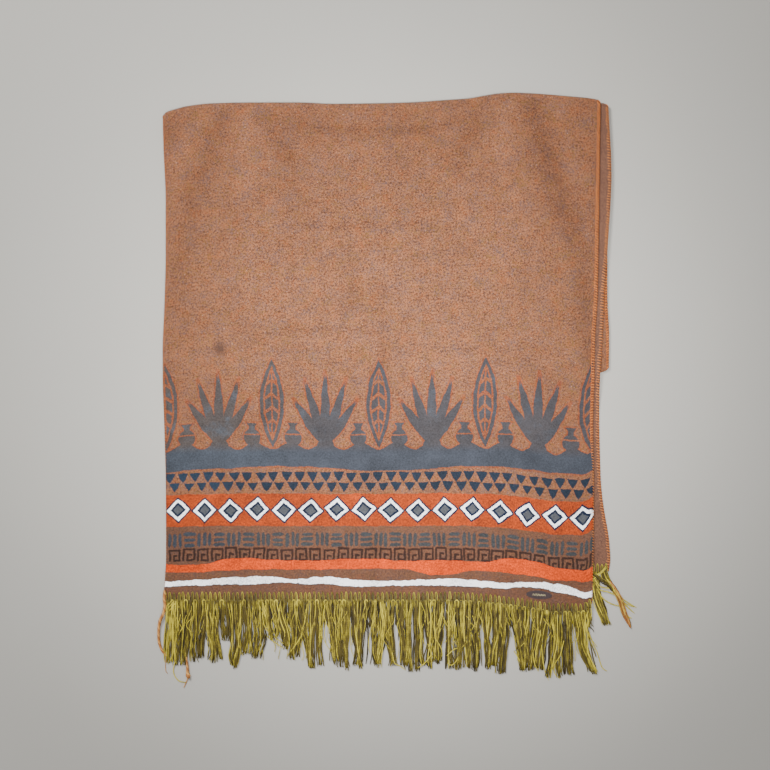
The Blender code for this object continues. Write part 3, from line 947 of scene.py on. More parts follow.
def through(points, steps):
    """A smooth line through a few points: a Catmull-Rom spline, read at even steps of its parameter."""
    points = np.array(points, float)
    padded = np.concatenate((2 * points[:1] - points[1:2], points, 2 * points[-1:] - points[-2:-1]))
    at = np.linspace(0, len(points) - 1, steps)
    span = np.clip(at.astype(int), 0, len(points) - 2)
    f = (at - span)[:, None]
    a, b, c, d = (padded[span + shift] for shift in range(4))
    return b + 0.5 * f * (c - a + f * (2 * a - 5 * b + 4 * c - d + f * (3 * (b - c) + d - a)))


def row_line(rows, steps):
    """A smooth line through the rows of a table, read at even steps: a point's columns in their order."""
    return through(np.stack(list(rows.values()), axis=1), steps)


# Single yarns that lie loose on the front fringe or beside it
LOOSE = tables(
    "across up high",
    fan_one=((-279, -0.5, 5.6), (-284, -5.5, 5.4), (-289, -10, 5), (-292.4, -12.8, 4.4)),
    fan_two=((-277, -2, 5.6), (-282, -8, 5.4), (-287.1, -12.8, 4.8), (-291.6, -18.9, 4)),
    fan_three=((-275, -4, 5.4), (-281, -12, 5), (-288.9, -20.7, 4)),
    left_curl=((-276, -84, 2), (-278.5, -96, 1), (-276, -105, 1), (-270, -111, 1), (-261.5, -112.5, 1)),
    left_slant=((-270, -8, 4), (-281, -30, 3), (-288, -58, 1), (-285.5, -88, 1)),
    left_short=((-274, -10, 4), (-281, -40, 3), (-279, -70, 1), (-285, -86, 1)),
    hoop=(
        *((-158, -6, 4.5), (-157, -26, 4), (-155, -36, 3), (-151, -38, 2.5)),
        *((-147.5, -32, 3), (-151, -20, 4.5), (-154, -8, 4.5)),
    ),
    cross_left=((-101, -43, 4), (-112, -60, 3), (-124, -76, 1.5)),
    sweep_one=((-163, -40, 2.5), (-147, -54, 1.5), (-128, -67, 0.8)),
    sweep_two=((-158, -36, 3), (-140, -52, 1.5), (-125, -63, 0.8)),
    low_curl=((18, -72, 3), (21, -86, 2), (28, -90, 1), (36, -96, 0.8)),
    arc_one=((52, -93, 1.5), (60, -88, 2), (67, -80, 2.5), (70.5, -73, 3), (66, -60, 4)),
    arc_two=((70, -76, 2), (78, -80, 1), (85, -77, 1.5), (84, -66, 3), (76, -52, 4)),
    arc_three=((92, -76, 3.5), (97, -71, 4), (102, -67, 4), (106, -66, 3.8)),
    arc_four=((93, -86, 3), (98, -89, 3), (104, -84, 3.2), (107, -78, 3.5)),
    thin_one=((183, -70, 3), (190, -82, 2), (196, -97, 0.8)),
    thin_two=((208, -72, 3), (211, -88, 2), (216, -98, 0.8)),
    thin_three=((220, -62, 4), (222, -84, 2.5), (225, -98, 1), (230, -110, 0.6)),
    round_end=((250, -56, 4), (245, -76, 3), (237.5, -88, 2), (238, -100, 1), (245, -108, 0.8)),
    corner_one=((284, -4, 4.6), (286.8, -13, 4.2), (286.8, -24, 3.8), (282.5, -36.5, 3.2)),
    corner_two=((281, -4, 4.6), (284.4, -14, 4.4), (284.6, -25, 4), (279.5, -39, 3.2)),
    right_long=((281, -36, 3), (289, -58, 2), (296, -74, 1), (302, -92, 0.6), (309, -97.5, 0.6)),
)

# The tan yarns: their places, and how thick they are
TAN = tables(
    "across up high thick",
    stray=(
        (-290.2, 12.5, 5.6, 1.2),
        (-290.0, 6, 6.2, 2.2),
        (-290.2, -1, 6.0, 2.2),
        (-289.4, -8, 6.0, 2.1),
        (-291.6, -18.9, 5.0, 2.1),
        (-295.9, -27.7, 3.8, 2.15),
        (-297.9, -37, 2.7, 2.05),
        (-298.4, -49.7, 2.2, 2.0),
        (-297.3, -60.2, 2.1, 1.95),
        (-293.2, -70.2, 1.9, 1.7),
        (-289.6, -74.3, 1.3, 0.9),
        (-288.2, -80.3, 0.9, 0.55),
        (-289.2, -89.1, 0.7, 0.5),
        (-288.6, -97.4, 0.6, 0.5),
        (-286.3, -100.6, 0.5, 0.4),
    ),
    knot=(
        (-260.5, -78, 3.6, 0.8),
        (-259.8, -87, 3.0, 1.5),
        (-259.3, -94, 2.6, 1.9),
        (-259.3, -99, 2.6, 2.1),
        (-258.6, -102.3, 2.8, 3.1),
        (-258.2, -104.6, 2.6, 3.0),
        (-259.3, -107.6, 1.4, 0.9),
        (-261, -112, 0.9, 0.75),
        (-264.4, -119.5, 0.7, 0.6),
    ),
)

# Single yarns that cross at the right of the back fringe
BACK_LOOSE = tables(
    "across up high",
    cross_low=((289.5, 27, 2.4), (296, 32, 3.6), (303, 38, 3.8), (308, 43, 3.4)),
    cross_middle=((290, 31, 2.6), (297, 35, 3.8), (304, 41, 4), (307, 45, 3.6)),
    upper=((309, 27, 3.2), (321, 11, 2.6), (332, -1, 1.4), (348.5, -11.4, 0.8)),
    upper_two=((311, 23, 3.2), (322, 8, 2.6), (332, -4.5, 1.4), (345, -10.4, 0.8)),
    lower=((314, 17, 3.2), (325, 3, 2.6), (335, -9, 1.4), (346, -19, 0.8)),
    short=((329, -9, 2.4), (335, -19, 1.6), (338.5, -24, 1), (342, -25.6, 0.8)),
    across=((295, 14, 2.8), (300, 5.5, 2.4), (306, -1, 1.6), (314.6, -6.1, 1.4), (326, -9.5, 1.2)),
    tie_one=((292.3, 27, 2.8), (299, 18, 3), (307, 15.5, 2.6), (314.6, 14.5, 2.8), (322, 9, 2.6)),
    tie_two=((293.6, 21.6, 2.8), (299, 13, 2.8), (310.2, 10, 2), (319, 6, 2.8)),
)

# The two locks that show at the right of the back fringe, the yarns that tie them, and the tan yarn on the
# longer one
BACK_BUNDLES = tables(
    "across up wide",
    tie=((291.5, 34, 3.5), (300, 27, 5.5), (310.5, 20, 5.5), (316.5, 12, 3.5)),
    near=(
        (293.8, 37.5, 8),
        (293.9, 27, 7.4),
        (294.2, 14, 7.4),
        (296.6, 0, 10),
        (302.4, -16, 10.4),
        (306.4, -28, 9.2),
        (308.6, -35, 7),
    ),
    far=(
        (304, 38, 9),
        (307.2, 28, 10.5),
        (313, 19.5, 8.5),
        (318.8, 12.8, 7),
        (325.7, 0.8, 6.8),
        (331, -16.2, 6.6),
        (337.3, -30.2, 4.6),
        (340.8, -38.5, 2),
    ),
    tan=(
        (311.5, 24, 4),
        (318.8, 13.5, 5.6),
        (325.7, 0.8, 6.4),
        (331, -16.2, 6.4),
        (337.3, -30.2, 4.6),
        (341.3, -39.7, 1.2),
    ),
)

# A ply's radius, and how far its middle winds from the yarn's, as shares of the yarn's thickness; and the
# least height of a loose yarn's underside
PLY_RADIUS, PLY_OFF, LEAST_UNDER = 0.6, 0.45, 0.05


def twisted(rows, steps, plies, pitch):
    """Plies that wind round a smooth line, a whole turn each pitch, in the plane across it."""
    line = row_line(rows, steps)
    points, wide = line[:, :3], line[:, 3]
    run = unit(np.gradient(points, axis=0))
    side = unit(np.cross(run, (0.0, 0.0, 1.0)))
    over = np.cross(side, run)
    turn = 2 * np.pi * (lengths(points) / pitch + np.arange(plies)[:, None] / plies)
    thick = np.broadcast_to(wide * PLY_RADIUS, turn.shape)
    ring = side * np.cos(turn)[..., None] + over * np.sin(turn)[..., None]
    paths = points + ring * wide[:, None] * PLY_OFF
    paths[..., 2] = np.maximum(paths[..., 2], thick + LEAST_UNDER)
    return tubes(paths, thick, 6)


def bundle(rng, rows, count, low, rise, radius):
    """Yarns side by side along a smooth line, each at its own place across the width and its own height.

    Each yarn stops a little before the end of the line, at its own share of it.
    """
    fine = np.linspace(0, 1, 200)
    line = row_line(rows, len(fine))
    run = unit(np.gradient(line[:, :2], axis=0))
    s = np.linspace(0, 1, 22)
    at = s * (1 - np.minimum(rng.exponential(0.06, (count, 1)), 0.4))
    columns = (*line.T, run[:, 1], -run[:, 0])
    x, y, wide, out_x, out_y = (np.interp(at, fine, column) for column in columns)
    place = (np.arange(count) + rng.uniform(0.1, 0.9, count)) / count - 0.5
    off = place[:, None] * wide + wander(rng, count, s, (1, 2, 3), 0.5) * ease(s, 0, 0.2)
    level = rng.permutation(np.linspace(0, 1, count))
    z = low + radius + rise * (0.75 * level + 0.25 * (1 - 4 * place**2))[:, None] * (1 - 0.4 * s)
    thick = radius * (1 - 0.4 * ease(s, 0.9, 1.0)) + 0 * x
    # The lower a yarn lies, the darker its tone: painted shade between the yarns
    tone = np.clip(0.1 + 0.5 * level + rng.normal(0, 0.15, count), 0, 1)
    return tubes(np.stack((x + off * out_x, y + off * out_y, z), axis=2), thick), tone


def loose_tubes(rows, radius, steps=26):
    """Tubes along a set of smooth lines, each thinner towards its end."""
    paths = np.stack([row_line(some, steps) for some in rows.values()])
    thick = radius * (1 - 0.45 * ease(np.linspace(0, 1, steps), 0.8, 1.0)) * np.ones((len(rows), 1))
    paths[..., 2] = np.maximum(paths[..., 2], thick + LEAST_UNDER)
    return tubes(paths, thick, 6)


def strays(rng, edges, end, count, radius):
    """Yarns that slipped out of their bundles: from a random root each drifts aside over the others."""
    s = np.linspace(0, 1, 14)
    root = rng.uniform(edges[0, 0] + 8, edges[-1, 1] - 8, count)
    y_start = end(root) - rng.uniform(1, 30, count)
    y = y_start[:, None] + (-rng.uniform(45, 84, count) - y_start)[:, None] * s
    x = root[:, None] + rng.normal(0, 7.0, (count, 1)) * s**1.4 + wander(rng, count, s, (0.5, 1, 2), 1.6)
    z = lock_underside(y) + 3.0 - 1.6 * s + np.abs(wander(rng, count, s, (1, 2), 0.3))
    return tubes(np.stack((x, y, z), axis=2), radius), rng.uniform(0.75, 1.0, count)


def oval(angle, scale=1.0):
    """A point of the label's outline, or of one inside it: a turned ellipse."""
    wide = scale * LABEL_SIZE[0] / 2 * np.cos(angle)
    tall = scale * LABEL_SIZE[1] / 2 * np.sin(angle)
    x = LABEL_AT[0] + wide * math.cos(LABEL_TURN) - tall * math.sin(LABEL_TURN)
    y = LABEL_AT[1] + wide * math.sin(LABEL_TURN) + tall * math.cos(LABEL_TURN)
    return x, y


# The label's underside, and its rim in section: the scale of each ring of its outline and its height
LABEL_LOW = END_Z + THICK / 2 + GAP
LABEL_RIM = table(
    "scale high",
    (0.5, 0.0),
    (0.95, 0.0),
    (0.985, 0.1),
    (1.0, 0.35),
    (0.995, 0.6),
    (0.975, 0.76),
    (0.93, 0.8),
    (0.88, 0.72),
    (0.6, 0.74),
    (0.3, 0.76),
)


def label_piece(material):
    """The label: rings of its outline, scaled and raised by its rim's section, closed at two poles."""
    count, rings = 64, len(LABEL_RIM["scale"])
    angle = np.linspace(0, 2 * np.pi, count, endpoint=False)
    x, y = oval(angle[None, :], LABEL_RIM["scale"][:, None])
    z = LABEL_LOW + LABEL_RIM["high"][:, None] + 0 * x
    low, high = (*LABEL_AT, LABEL_LOW), (*LABEL_AT, LABEL_LOW + LABEL_RIM["high"][-1])
    points = np.concatenate((np.stack((x, y, z), axis=2).reshape(-1, 3), (low, high)))
    one = np.arange(rings * count).reshape(rings, count)
    turned = np.roll(one, -1, axis=1)
    quads = np.stack((one[:-1], turned[:-1], turned[1:], one[1:]), axis=2).reshape(-1, 4)
    poles = np.full(count, rings * count)
    bottom = np.stack((turned[0], one[0], poles), axis=1)
    top = np.stack((one[-1], turned[-1], poles + 1), axis=1)
    return put_mesh("label_oval", points, [quads, np.concatenate((bottom, top))], material)


def label_stitches(material):
    """Cream thread on the label: a plain zigzag along its middle."""
    cosine, sine = math.cos(LABEL_TURN), math.sin(LABEL_TURN)
    reach, peaks, high, over, radius = 8.6, 8, 1.2, 0.1, 0.24
    corner = np.linspace(-reach, reach, peaks * 2 + 1)
    swing = high * np.where(np.arange(len(corner)) % 2, 1, -1)
    x = LABEL_AT[0] + corner * cosine - swing * sine
    y = LABEL_AT[1] + corner * sine + swing * cosine
    line = through(np.stack((x, y, LABEL_LOW + LABEL_THICK + over + 0 * x), axis=1), 160)
    return join_tubes("label_thread", [(tubes(line[None], radius), 0.8)], material)


# The sockets of a Mix node that mixes colours, by number, because its other kinds share their names
MIX_FACTOR, MIX_A, MIX_B, MIX_RESULT = 0, 6, 7, 2


def arithmetic(operation, turned=False):
    """A method that places a Math node for two numbers, in their turned order where that matters."""

    def method(self, other):
        return self.graph.math(operation, *((other, self) if turned else (self, other)))

    return method


class Wire:
    """A number on its way through a material. Plain arithmetic on it places Math nodes."""

    __add__ = __radd__ = arithmetic("ADD")
    __sub__ = arithmetic("SUBTRACT")
    __rsub__ = arithmetic("SUBTRACT", turned=True)
    __mul__ = __rmul__ = arithmetic("MULTIPLY")
    __truediv__ = arithmetic("DIVIDE")
    __pow__ = arithmetic("POWER")

    def __init__(self, graph, socket):
        self.graph = graph
        self.socket = socket

    def __abs__(self):
        return self.graph.math("ABSOLUTE", self)


class Graph:
    """Places the nodes of one material or node group, and joins them."""

    def __init__(self, tree):
        self.tree = tree

    def place(self, kind, inputs=(), **settings):
        """A node with its settings made, and each input, by name or number, joined or given its value."""
        node = self.tree.nodes.new(kind)
        for name, value in settings.items():
            setattr(node, name, value)
        for name, value in dict(inputs).items():
            self.feed(node.inputs[name], value)
        return node

    def feed(self, socket, value):
        if isinstance(value, Wire):
            self.tree.links.new(value.socket, socket)
        elif isinstance(value, bpy.types.NodeSocket):
            self.tree.links.new(value, socket)
        elif socket.type == "RGBA" and len(value) == 3:
            socket.default_value = (*value, 1.0)
        else:
            socket.default_value = value

    def math(self, operation, *values):
        node = self.place("ShaderNodeMath", dict(enumerate(values)), operation=operation)
        return Wire(self, node.outputs[0])

    def parts(self, vector):
        """The first two parts of a vector."""
        node = self.place("ShaderNodeSeparateXYZ", {0: vector})
        return [Wire(self, node.outputs[number]) for number in (0, 1)]

    def attribute(self, name):
        return Wire(self, self.place("ShaderNodeAttribute", attribute_name=name).outputs["Fac"])

    def uv(self):
        return self.place("ShaderNodeUVMap", uv_map="along").outputs["UV"]

    def spot(self):
        """The place in the object's own coordinates."""
        return self.place("ShaderNodeTexCoord").outputs["Object"]

    def far(self, x, y):
        """The distance of a point at x and y from their middle."""
        return self.math("SQRT", x * x + y * y)

    def least(self, first, *others):
        for other in others:
            first = self.math("MINIMUM", first, other)
        return first

    def most(self, first, *others):
        for other in others:
            first = self.math("MAXIMUM", first, other)
        return first

    def nearest(self, value, low=None, high=None):
        """The nearest whole number, kept between two limits."""
        whole = self.math("ROUND", value)
        return whole if low is None else self.least(self.most(whole, low), high)

    def repeat(self, at, first, pitch, low=None, high=None):
        """The number of the nearest repeat, and how far past its middle a point is."""
        place = (at - first) / pitch
        cell = self.nearest(place, low, high)
        return cell, (place - cell) * pitch

    def ramp(self, value, start, stop):
        """0 before start and 1 past stop, with a soft step between."""
        inputs = {"Value": value, "From Min": start, "From Max": stop}
        node = self.place("ShaderNodeMapRange", inputs, interpolation_type="SMOOTHSTEP")
        return Wire(self, node.outputs["Result"])

    def chance(self, seed, cell):
        """An even random number from -0.5 to 0.5 for each whole number."""
        node = self.place("ShaderNodeTexWhiteNoise", {"W": cell + seed}, noise_dimensions="1D")
        return Wire(self, node.outputs["Value"]) - 0.5

    def noise(self, vector, size, detail=2.0, rough=0.5, stretch=(1, 1, 1), shift=0.0):
        """Soft noise whose features are about `size` metres: its value and two more of its channels."""
        scale = tuple(part / size for part in stretch)
        moved = self.place("ShaderNodeMapping", {"Vector": vector, "Scale": scale, "Location": (shift,) * 3})
        inputs = {"Vector": moved.outputs[0], "Scale": 1.0, "Detail": detail, "Roughness": rough}
        made = self.place("ShaderNodeTexNoise", inputs)
        split = self.place("ShaderNodeSeparateColor", {"Color": made.outputs["Color"]})
        return [Wire(self, socket) for socket in split.outputs]

    def blend(self, share, under, over):
        """A colour between two others."""
        node = self.place("ShaderNodeMix", data_type="RGBA")
        for number, value in ((MIX_FACTOR, share), (MIX_A, under), (MIX_B, over)):
            self.feed(node.inputs[number], value)
        return node.outputs[MIX_RESULT]

    def curve(self, rows, key, column, at):
        """A smooth line through the rows of a table, by a Float Curve of the wire `at`."""
        keys, values = rows[key], rows[column]
        first, long = float(keys[0]), float(keys[-1] - keys[0])
        low, tall = float(values.min() - 1), float(np.ptp(values) + 2)
        node = self.place("ShaderNodeFloatCurve", {"Value": (at - first) / long})
        line = node.mapping.curves[0]
        places = np.stack(((keys - first) / long, (values - low) / tall), axis=1)
        line.points[0].location, line.points[1].location = places[0], places[-1]
        for place in places[1:-1]:
            line.points.new(*place)
        node.mapping.update()
        return Wire(self, node.outputs[0]) * tall + low

    def group(self, tree, **inputs):
        """A node group in its place. Underscores in the names of its inputs stand for spaces."""
        node = self.place("ShaderNodeGroup", node_tree=tree)
        for name, value in inputs.items():
            self.feed(node.inputs[name.replace("_", " ")], value)
        return {socket.name: Wire(self, socket) for socket in node.outputs}


def node_group(name, inputs, outputs, fill):
    """A shader node group with named inputs and outputs, made once."""
    if name in bpy.data.node_groups:
        return bpy.data.node_groups[name]
    tree = bpy.data.node_groups.new(name, "ShaderNodeTree")
    for title, kind, default in inputs:
        socket = tree.interface.new_socket(title, in_out="INPUT", socket_type=kind)
        if default is not None:
            socket.default_value = default
    for title, kind in outputs:
        tree.interface.new_socket(title, in_out="OUTPUT", socket_type=kind)
    graph = Graph(tree)
    entry = graph.place("NodeGroupInput")
    leave = graph.place("NodeGroupOutput")
    for title, value in fill(graph, {socket.name: socket for socket in entry.outputs}).items():
        graph.feed(leave.inputs[title], value)
    return tree


# The wool's grain: the size of one fibre tuft in metres, the share of coarse noise in it and of fine noise,
# and how strongly it and the slow change under it show
TUFT = 0.0026
COARSE_SHARE, FINE_SHARE, GRAIN_STRONG, SLOW_STRONG = 0.62, 0.38, 5.0, 0.8


def wool_grain():
    """Brushed wool: mixed fibres that show as grain, a few pale specks, and the height of the nap."""
    names = ("Grain", "Tint", "Hue", "Slow", "Fleck", "Height")

    def fill(graph, given):
        size = Wire(graph, given["Size"])
        scaled = graph.place("ShaderNodeVectorMath", {0: given["Vector"]}, operation="SCALE")
        graph.feed(scaled.inputs["Scale"], graph.math("DIVIDE", 1.0, size))
        vector = scaled.outputs[0]
        coarse = graph.noise(vector, 1.0, 2.0, 0.75)
        fine = graph.noise(vector, 0.41, 1.0, 0.6, shift=7.0)
        slow = graph.noise(vector, 5.5, 3.0, 0.65, shift=3.0)
        mixed = coarse[0] * COARSE_SHARE + fine[0] * FINE_SHARE
        grain = (mixed - 0.5) * GRAIN_STRONG + 0.5 + (slow[0] - 0.5) * SLOW_STRONG
        fleck = graph.ramp(graph.noise(vector, 0.6, 0.0, 0.5, shift=31.0)[1], 0.8, 0.88)
        made = (grain, coarse[1], coarse[2], slow[1], fleck, mixed)
        return dict(zip(names, made))

    inputs = (("Vector", "NodeSocketVector", None), ("Size", "NodeSocketFloat", TUFT))
    return node_group("wool_grain", inputs, [(name, "NodeSocketFloat") for name in names], fill)


def yarn_twist():
    """Twisted yarn: plies that wind round it once every pitch, read from the UV map along a tube."""

    def fill(graph, given):
        round_it, along = graph.parts(given["Vector"])
        turn = round_it * Wire(graph, given["Plies"]) + graph.math("DIVIDE", along, given["Pitch"])
        # The ply output is painted shade: darker in the grooves between the plies, lighter on their crowns
        wave = graph.math("SINE", turn * (2 * math.pi)) * 0.5 + 0.5
        return {"Ply": wave, "Height": wave**0.6}

    inputs = (
        ("Vector", "NodeSocketVector", None),
        ("Plies", "NodeSocketFloat", 2.0),
        ("Pitch", "NodeSocketFloat", 0.003),
    )
    outputs = (("Ply", "NodeSocketFloat"), ("Height", "NodeSocketFloat"))
    return node_group("yarn_twist", inputs, outputs, fill)


def new_material(name, sheen, sheen_rough=0.5, specular=0.5):
    """A material with its shader, and with the constant parts of its finish set on the shader."""
    material = bpy.data.materials.new(name)
    material.use_nodes = True
    shader = material.node_tree.nodes["Principled BSDF"]
    shader.inputs["Sheen Weight"].default_value = sheen
    shader.inputs["Sheen Roughness"].default_value = sheen_rough
    shader.inputs["Specular IOR Level"].default_value = specular
    return material, Graph(material.node_tree), shader


def finish_material(graph, shader, colour, rough, height, distance, strength):
    """Join a colour, a roughness and a height to the shader."""
    graph.feed(shader.inputs["Base Color"], colour)
    graph.feed(shader.inputs["Roughness"], rough)
    bump = graph.place("ShaderNodeBump", {"Height": height, "Distance": distance, "Strength": strength})
    graph.feed(shader.inputs["Normal"], bump.outputs["Normal"])


# The painted bands, in millimetres. Across is from the middle of the cloth, and heights are along it from its
# front end. At the right the bands drop a little.
RIGHT_DROP, DROP_FROM = 1.2, (255.0, 292.0)
GROUND = table(
    "across low",
    (-292, 174.6),
    (-210, 177.5),
    (-134, 180.0),
    (-60, 177.5),
    (15, 174.4),
    (109, 179.4),
    (200, 180.0),
    (292, 178.8),
)
THIN_ORANGE = table(
    "across low high",
    (-292, 37.5, 49.6),
    (-255, 37.8, 47.4),
    (-225, 38.9, 51.5),
    (-194, 40.3, 55.9),
    (-150, 41.2, 54.0),
    (-107, 41.0, 52.8),
    (-60, 41.8, 54.6),
    (-12, 42.2, 55.4),
    (28, 41.9, 52.6),
    (82, 33.9, 52.7),
    (136, 40.8, 52.0),
    (190, 41.3, 61.2),
    (240, 40.0, 56.0),
    (270, 39.5, 54.0),
    (292, 29.5, 50.0),
)
WHITE_STRIPE = table(
    "across low high",
    (-292, 18.0, 24.4),
    (-230, 19.6, 27.6),
    (-161, 21.6, 31.0),
    (-125, 23.4, 28.4),
    (-110, 20.6, 27.0),
    (-80, 21.6, 31.0),
    (-26, 17.6, 26.3),
    (28, 18.9, 25.6),
    (96, 18.9, 28.4),
    (163, 19.4, 27.0),
    (188, 23.6, 30.0),
    (222, 26.9, 34.2),
    (238, 24.4, 35.3),
    (262, 22.1, 31.5),
    (278, 17.5, 25.5),
    (292, 10.0, 18.0),
)
WIDE_LOW, WIDE_HIGH = 99.5, 143.0

# Two rows of triangles: the first one's middle, the height of the tips and of the bases, and a random seed
TRIANGLES = table("first tip base seed", (-287.4, 159.2, 172.4, 11), (-279.5, 146.2, 158.6, 37))
TRIANGLE_PITCH, TRIANGLE_WIDE = 17.78, 14.8

# Diamonds: their height, pitch, first middle and number; half sizes and line widths; and how far their row
# is shifted to the left at the middle of the cloth, down to nothing at this distance from it
DIAMOND_AT, DIAMOND_PITCH, DIAMOND_FIRST, DIAMONDS = 121.5, 36.86, -275.1, 16
DIAMOND_HALF, DIAMOND_LINE, EYE_HALF, EYE_LINE = 18.2, 2.7, 10.4, 3.6
DIAMOND_SHIFT, SHIFT_ENDS = 4.7, 280.0

# Dashes in threes, by turns upright and level
DASH_AT, DASH_PITCH, DASH_FIRST = 81.4, 40.2, -280.0
DASH_APART, DASH_HALF_WIDE, DASH_HALF_LONG, FLAT_HALF_LONG = 6.9, 2.4, 9.6, 8.4

# Square spirals, and the strokes of one
KEY_PITCH, KEY_FIRST, KEY_LOW = 19.2, -280.0, 52.4
KEY_STROKES = table(
    "x0 y0 x1 y1",
    (-7.2, 1.5, -7.2, 16.0),
    (-7.2, 16.0, 6.8, 16.0),
    (6.8, 16.0, 6.8, 1.6),
    (6.8, 1.6, -1.8, 1.2),
    (-1.8, 1.2, -1.8, 9.0),
    (-1.8, 9.0, 2.6, 8.4),
)
KEY_LINE = 1.25

# The row of figures on its slate ground: leaf fans, shields halfway between them, pots, and low hills
MOTIF_PITCH, MOTIF_FIRST, MOTIF_LOW = 145.0, -217.5, 207.0
LEAF_TURN, LEAVES, LEAF_LONG, LEAF_SHORTER, LEAF_HALF = 17.0, 2, 104.0, 6.0, 6.4
VEIN_HALF, VEIN_DEEP, MOUND = 1.0, 2.2, 12.0
SHIELD_AT, SHIELD_HALF_LONG, SHIELD_HALF_WIDE = 58.0, 60.0, 16.5
RIB_AT, RIB_HALF, BAR_PITCH, BAR_SLANT = 6.0, 1.1, 9.0, 0.8
POT_AT, POT_HIGH, POT_HALF, POT_BAND = 44.5, 12.0, 11.5, 4.0
NECK_HIGH, NECK_HALF_LONG, NECK_HALF, NECK_FLARES = 26.0, 6.0, 4.2, 0.7
HILL_PITCH, HILL_RISE, HILL_AT = 48.33, 5.0, 208.0

# Marks in the wool: colour, across, up, half width and share
SPOTS = (("wool_low", -215.0, 340.0, 14.0, 0.85), ("lint", 285.0, 279.5, 3.4, 0.8))


def triangle_row(graph, u, r, first, tip, base, seed):
    """Painted triangles that point down, each a little out of place. More than 0 is inside."""
    cell, off = graph.repeat(u, first, TRIANGLE_PITCH)
    off = off + graph.chance(seed, cell) * 1.8
    low = graph.chance(seed + 5.3, cell) * 1.6 + tip
    tall = (r - low) / (base - tip)
    half = tall * (1.5 - tall * 0.5) * (TRIANGLE_WIDE / 2)
    return graph.least((half - abs(off)) * 0.8, graph.chance(seed + 9.1, cell) * 1.2 + base - r)


def diamonds(graph, u, r):
    """How far inside its diamond's outline a point lies, by the sum of its two distances from the middle."""
    shifted = u + (1 - (u / SHIFT_ENDS) * (u / SHIFT_ENDS)) * DIAMOND_SHIFT
    cell, off = graph.repeat(shifted, DIAMOND_FIRST, DIAMOND_PITCH, 0, DIAMONDS - 1)
    off = off + graph.chance(3.7, cell) * 1.2
    up = r - DIAMOND_AT + graph.chance(8.2, cell) * 2.4
    skew = graph.chance(14.9, cell) * 0.16
    return DIAMOND_HALF - abs(off + up * skew) * 0.93 - abs(up - off * skew) + graph.chance(21.3, cell) * 1.2


def dashes(graph, u, r):
    """Three upright dashes, then three level ones, by turns."""
    place = (u - DASH_FIRST) / DASH_PITCH
    cell = graph.nearest(place)
    off = (place - cell) * DASH_PITCH
    up = r - DASH_AT
    which = graph.nearest(off / DASH_APART, -1, 1)
    slip = graph.chance(5.5, cell * 3.0 + which)
    across = off - which * DASH_APART + slip
    long = abs(up + slip * 1.6) / DASH_HALF_LONG
    upright = (1 - long**6.0) * DASH_HALF_WIDE - abs(across)
    side = DASH_PITCH / 2 - abs(off)
    level = graph.nearest(up / DASH_APART, -1, 1)
    drift = graph.chance(2.5, graph.nearest(place - 0.5) * 3.0 + level)
    away = abs(side + drift * 1.5) / FLAT_HALF_LONG
    flat = (1 - away**6.0) * DASH_HALF_WIDE - abs(up - level * DASH_APART + drift)
    return graph.most(upright, flat)


def keys(graph, u, r):
    """Square spirals: the nearest of a few short strokes, each with round ends."""
    cell, off = graph.repeat(u, KEY_FIRST, KEY_PITCH)
    x = (off + graph.chance(6.6, cell) * 1.5) * (graph.chance(4.1, cell) * 0.14 + 1)
    y = (r - KEY_LOW + graph.chance(1.9, cell) * 1.6) * (graph.chance(7.3, cell) * 0.12 + 1)
    strokes = []
    for x0, y0, x1, y1 in np.stack(list(KEY_STROKES.values()), axis=1).tolist():
        run_x, run_y = x1 - x0, y1 - y0
        square = run_x**2 + run_y**2
        along = (x - x0) * (run_x / square) + (y - y0) * (run_y / square)
        along = graph.least(graph.most(along, 0.0), 1.0)
        off_x, off_y = x - x0 - along * run_x, y - y0 - along * run_y
        strokes.append(off_x * off_x + off_y * off_y)
    return KEY_LINE - graph.math("SQRT", graph.least(*strokes))


def motifs(graph, u, r):
    """A plain row of leaf fans, pots and pointed shields: how far a point lies inside the nearest one.

    A leaf's half width is a sine of the share of its length, less its distance from the leaf's own line. A
    shield's is a parabola of its height. A pot is a round body, parted by a band, under a flared neck.
    """
    off = graph.repeat(u, MOTIF_FIRST, MOTIF_PITCH)[1]
    y = r - MOTIF_LOW
    side = abs(off)

    reach = graph.far(off, y)
    angle = graph.math("ARCTAN2", off, y) * (180 / math.pi)
    leaf = graph.nearest(angle / LEAF_TURN, -LEAVES, LEAVES)
    aside = abs((angle - leaf * LEAF_TURN) * (math.pi / 180) * reach)
    long = LEAF_LONG - leaf * leaf * LEAF_SHORTER
    share = graph.least(graph.most(reach / long, 0.0), 1.0)
    half = graph.math("SINE", (share**0.85) * math.pi) * LEAF_HALF
    vein = graph.most(VEIN_HALF - aside, 0.0) * graph.ramp(share, 0.25, 0.4)
    leaves = half - aside - vein * VEIN_DEEP - graph.most(reach - long, 0.0)
    mound = MOUND - reach

    away = MOTIF_PITCH / 2 - side
    tall = (y - SHIELD_AT) / SHIELD_HALF_LONG
    shield = (1 - tall * tall) * SHIELD_HALF_WIDE - away
    rib = RIB_HALF - abs(shield - RIB_AT)
    bars = graph.math("PINGPONG", y + away * BAR_SLANT, BAR_PITCH) - 1.2
    inner = graph.least(shield - (RIB_AT + 1), graph.most(RIB_HALF - bars, 1.0 - away))
    shield = graph.least(shield, 0 - rib, 0 - inner)

    beside = abs(side - POT_AT)
    level = y - POT_HIGH
    body = POT_HALF - graph.far(beside, level)
    band = abs(level - POT_BAND) - 0.8
    flare = graph.most(y - (NECK_HIGH + 1), 0.0) * NECK_FLARES
    neck = graph.least(NECK_HALF - beside + flare, NECK_HALF_LONG - abs(y - NECK_HIGH))
    pot = graph.most(graph.least(body, band), neck)
    return graph.most(leaves, mound, shield, pot)


# How much the painter's hand and the wool's nap shift the paint's edges, in millimetres
HAND_SHIFT, FRAY_SHIFT = 4.2, 1.5

# The grain is crispest in the middle of the plain wool, this far up, and softer between these distances
CRISP_AT, CRISP_FROM, CRISP_TO = 400.0, 340.0, 60.0

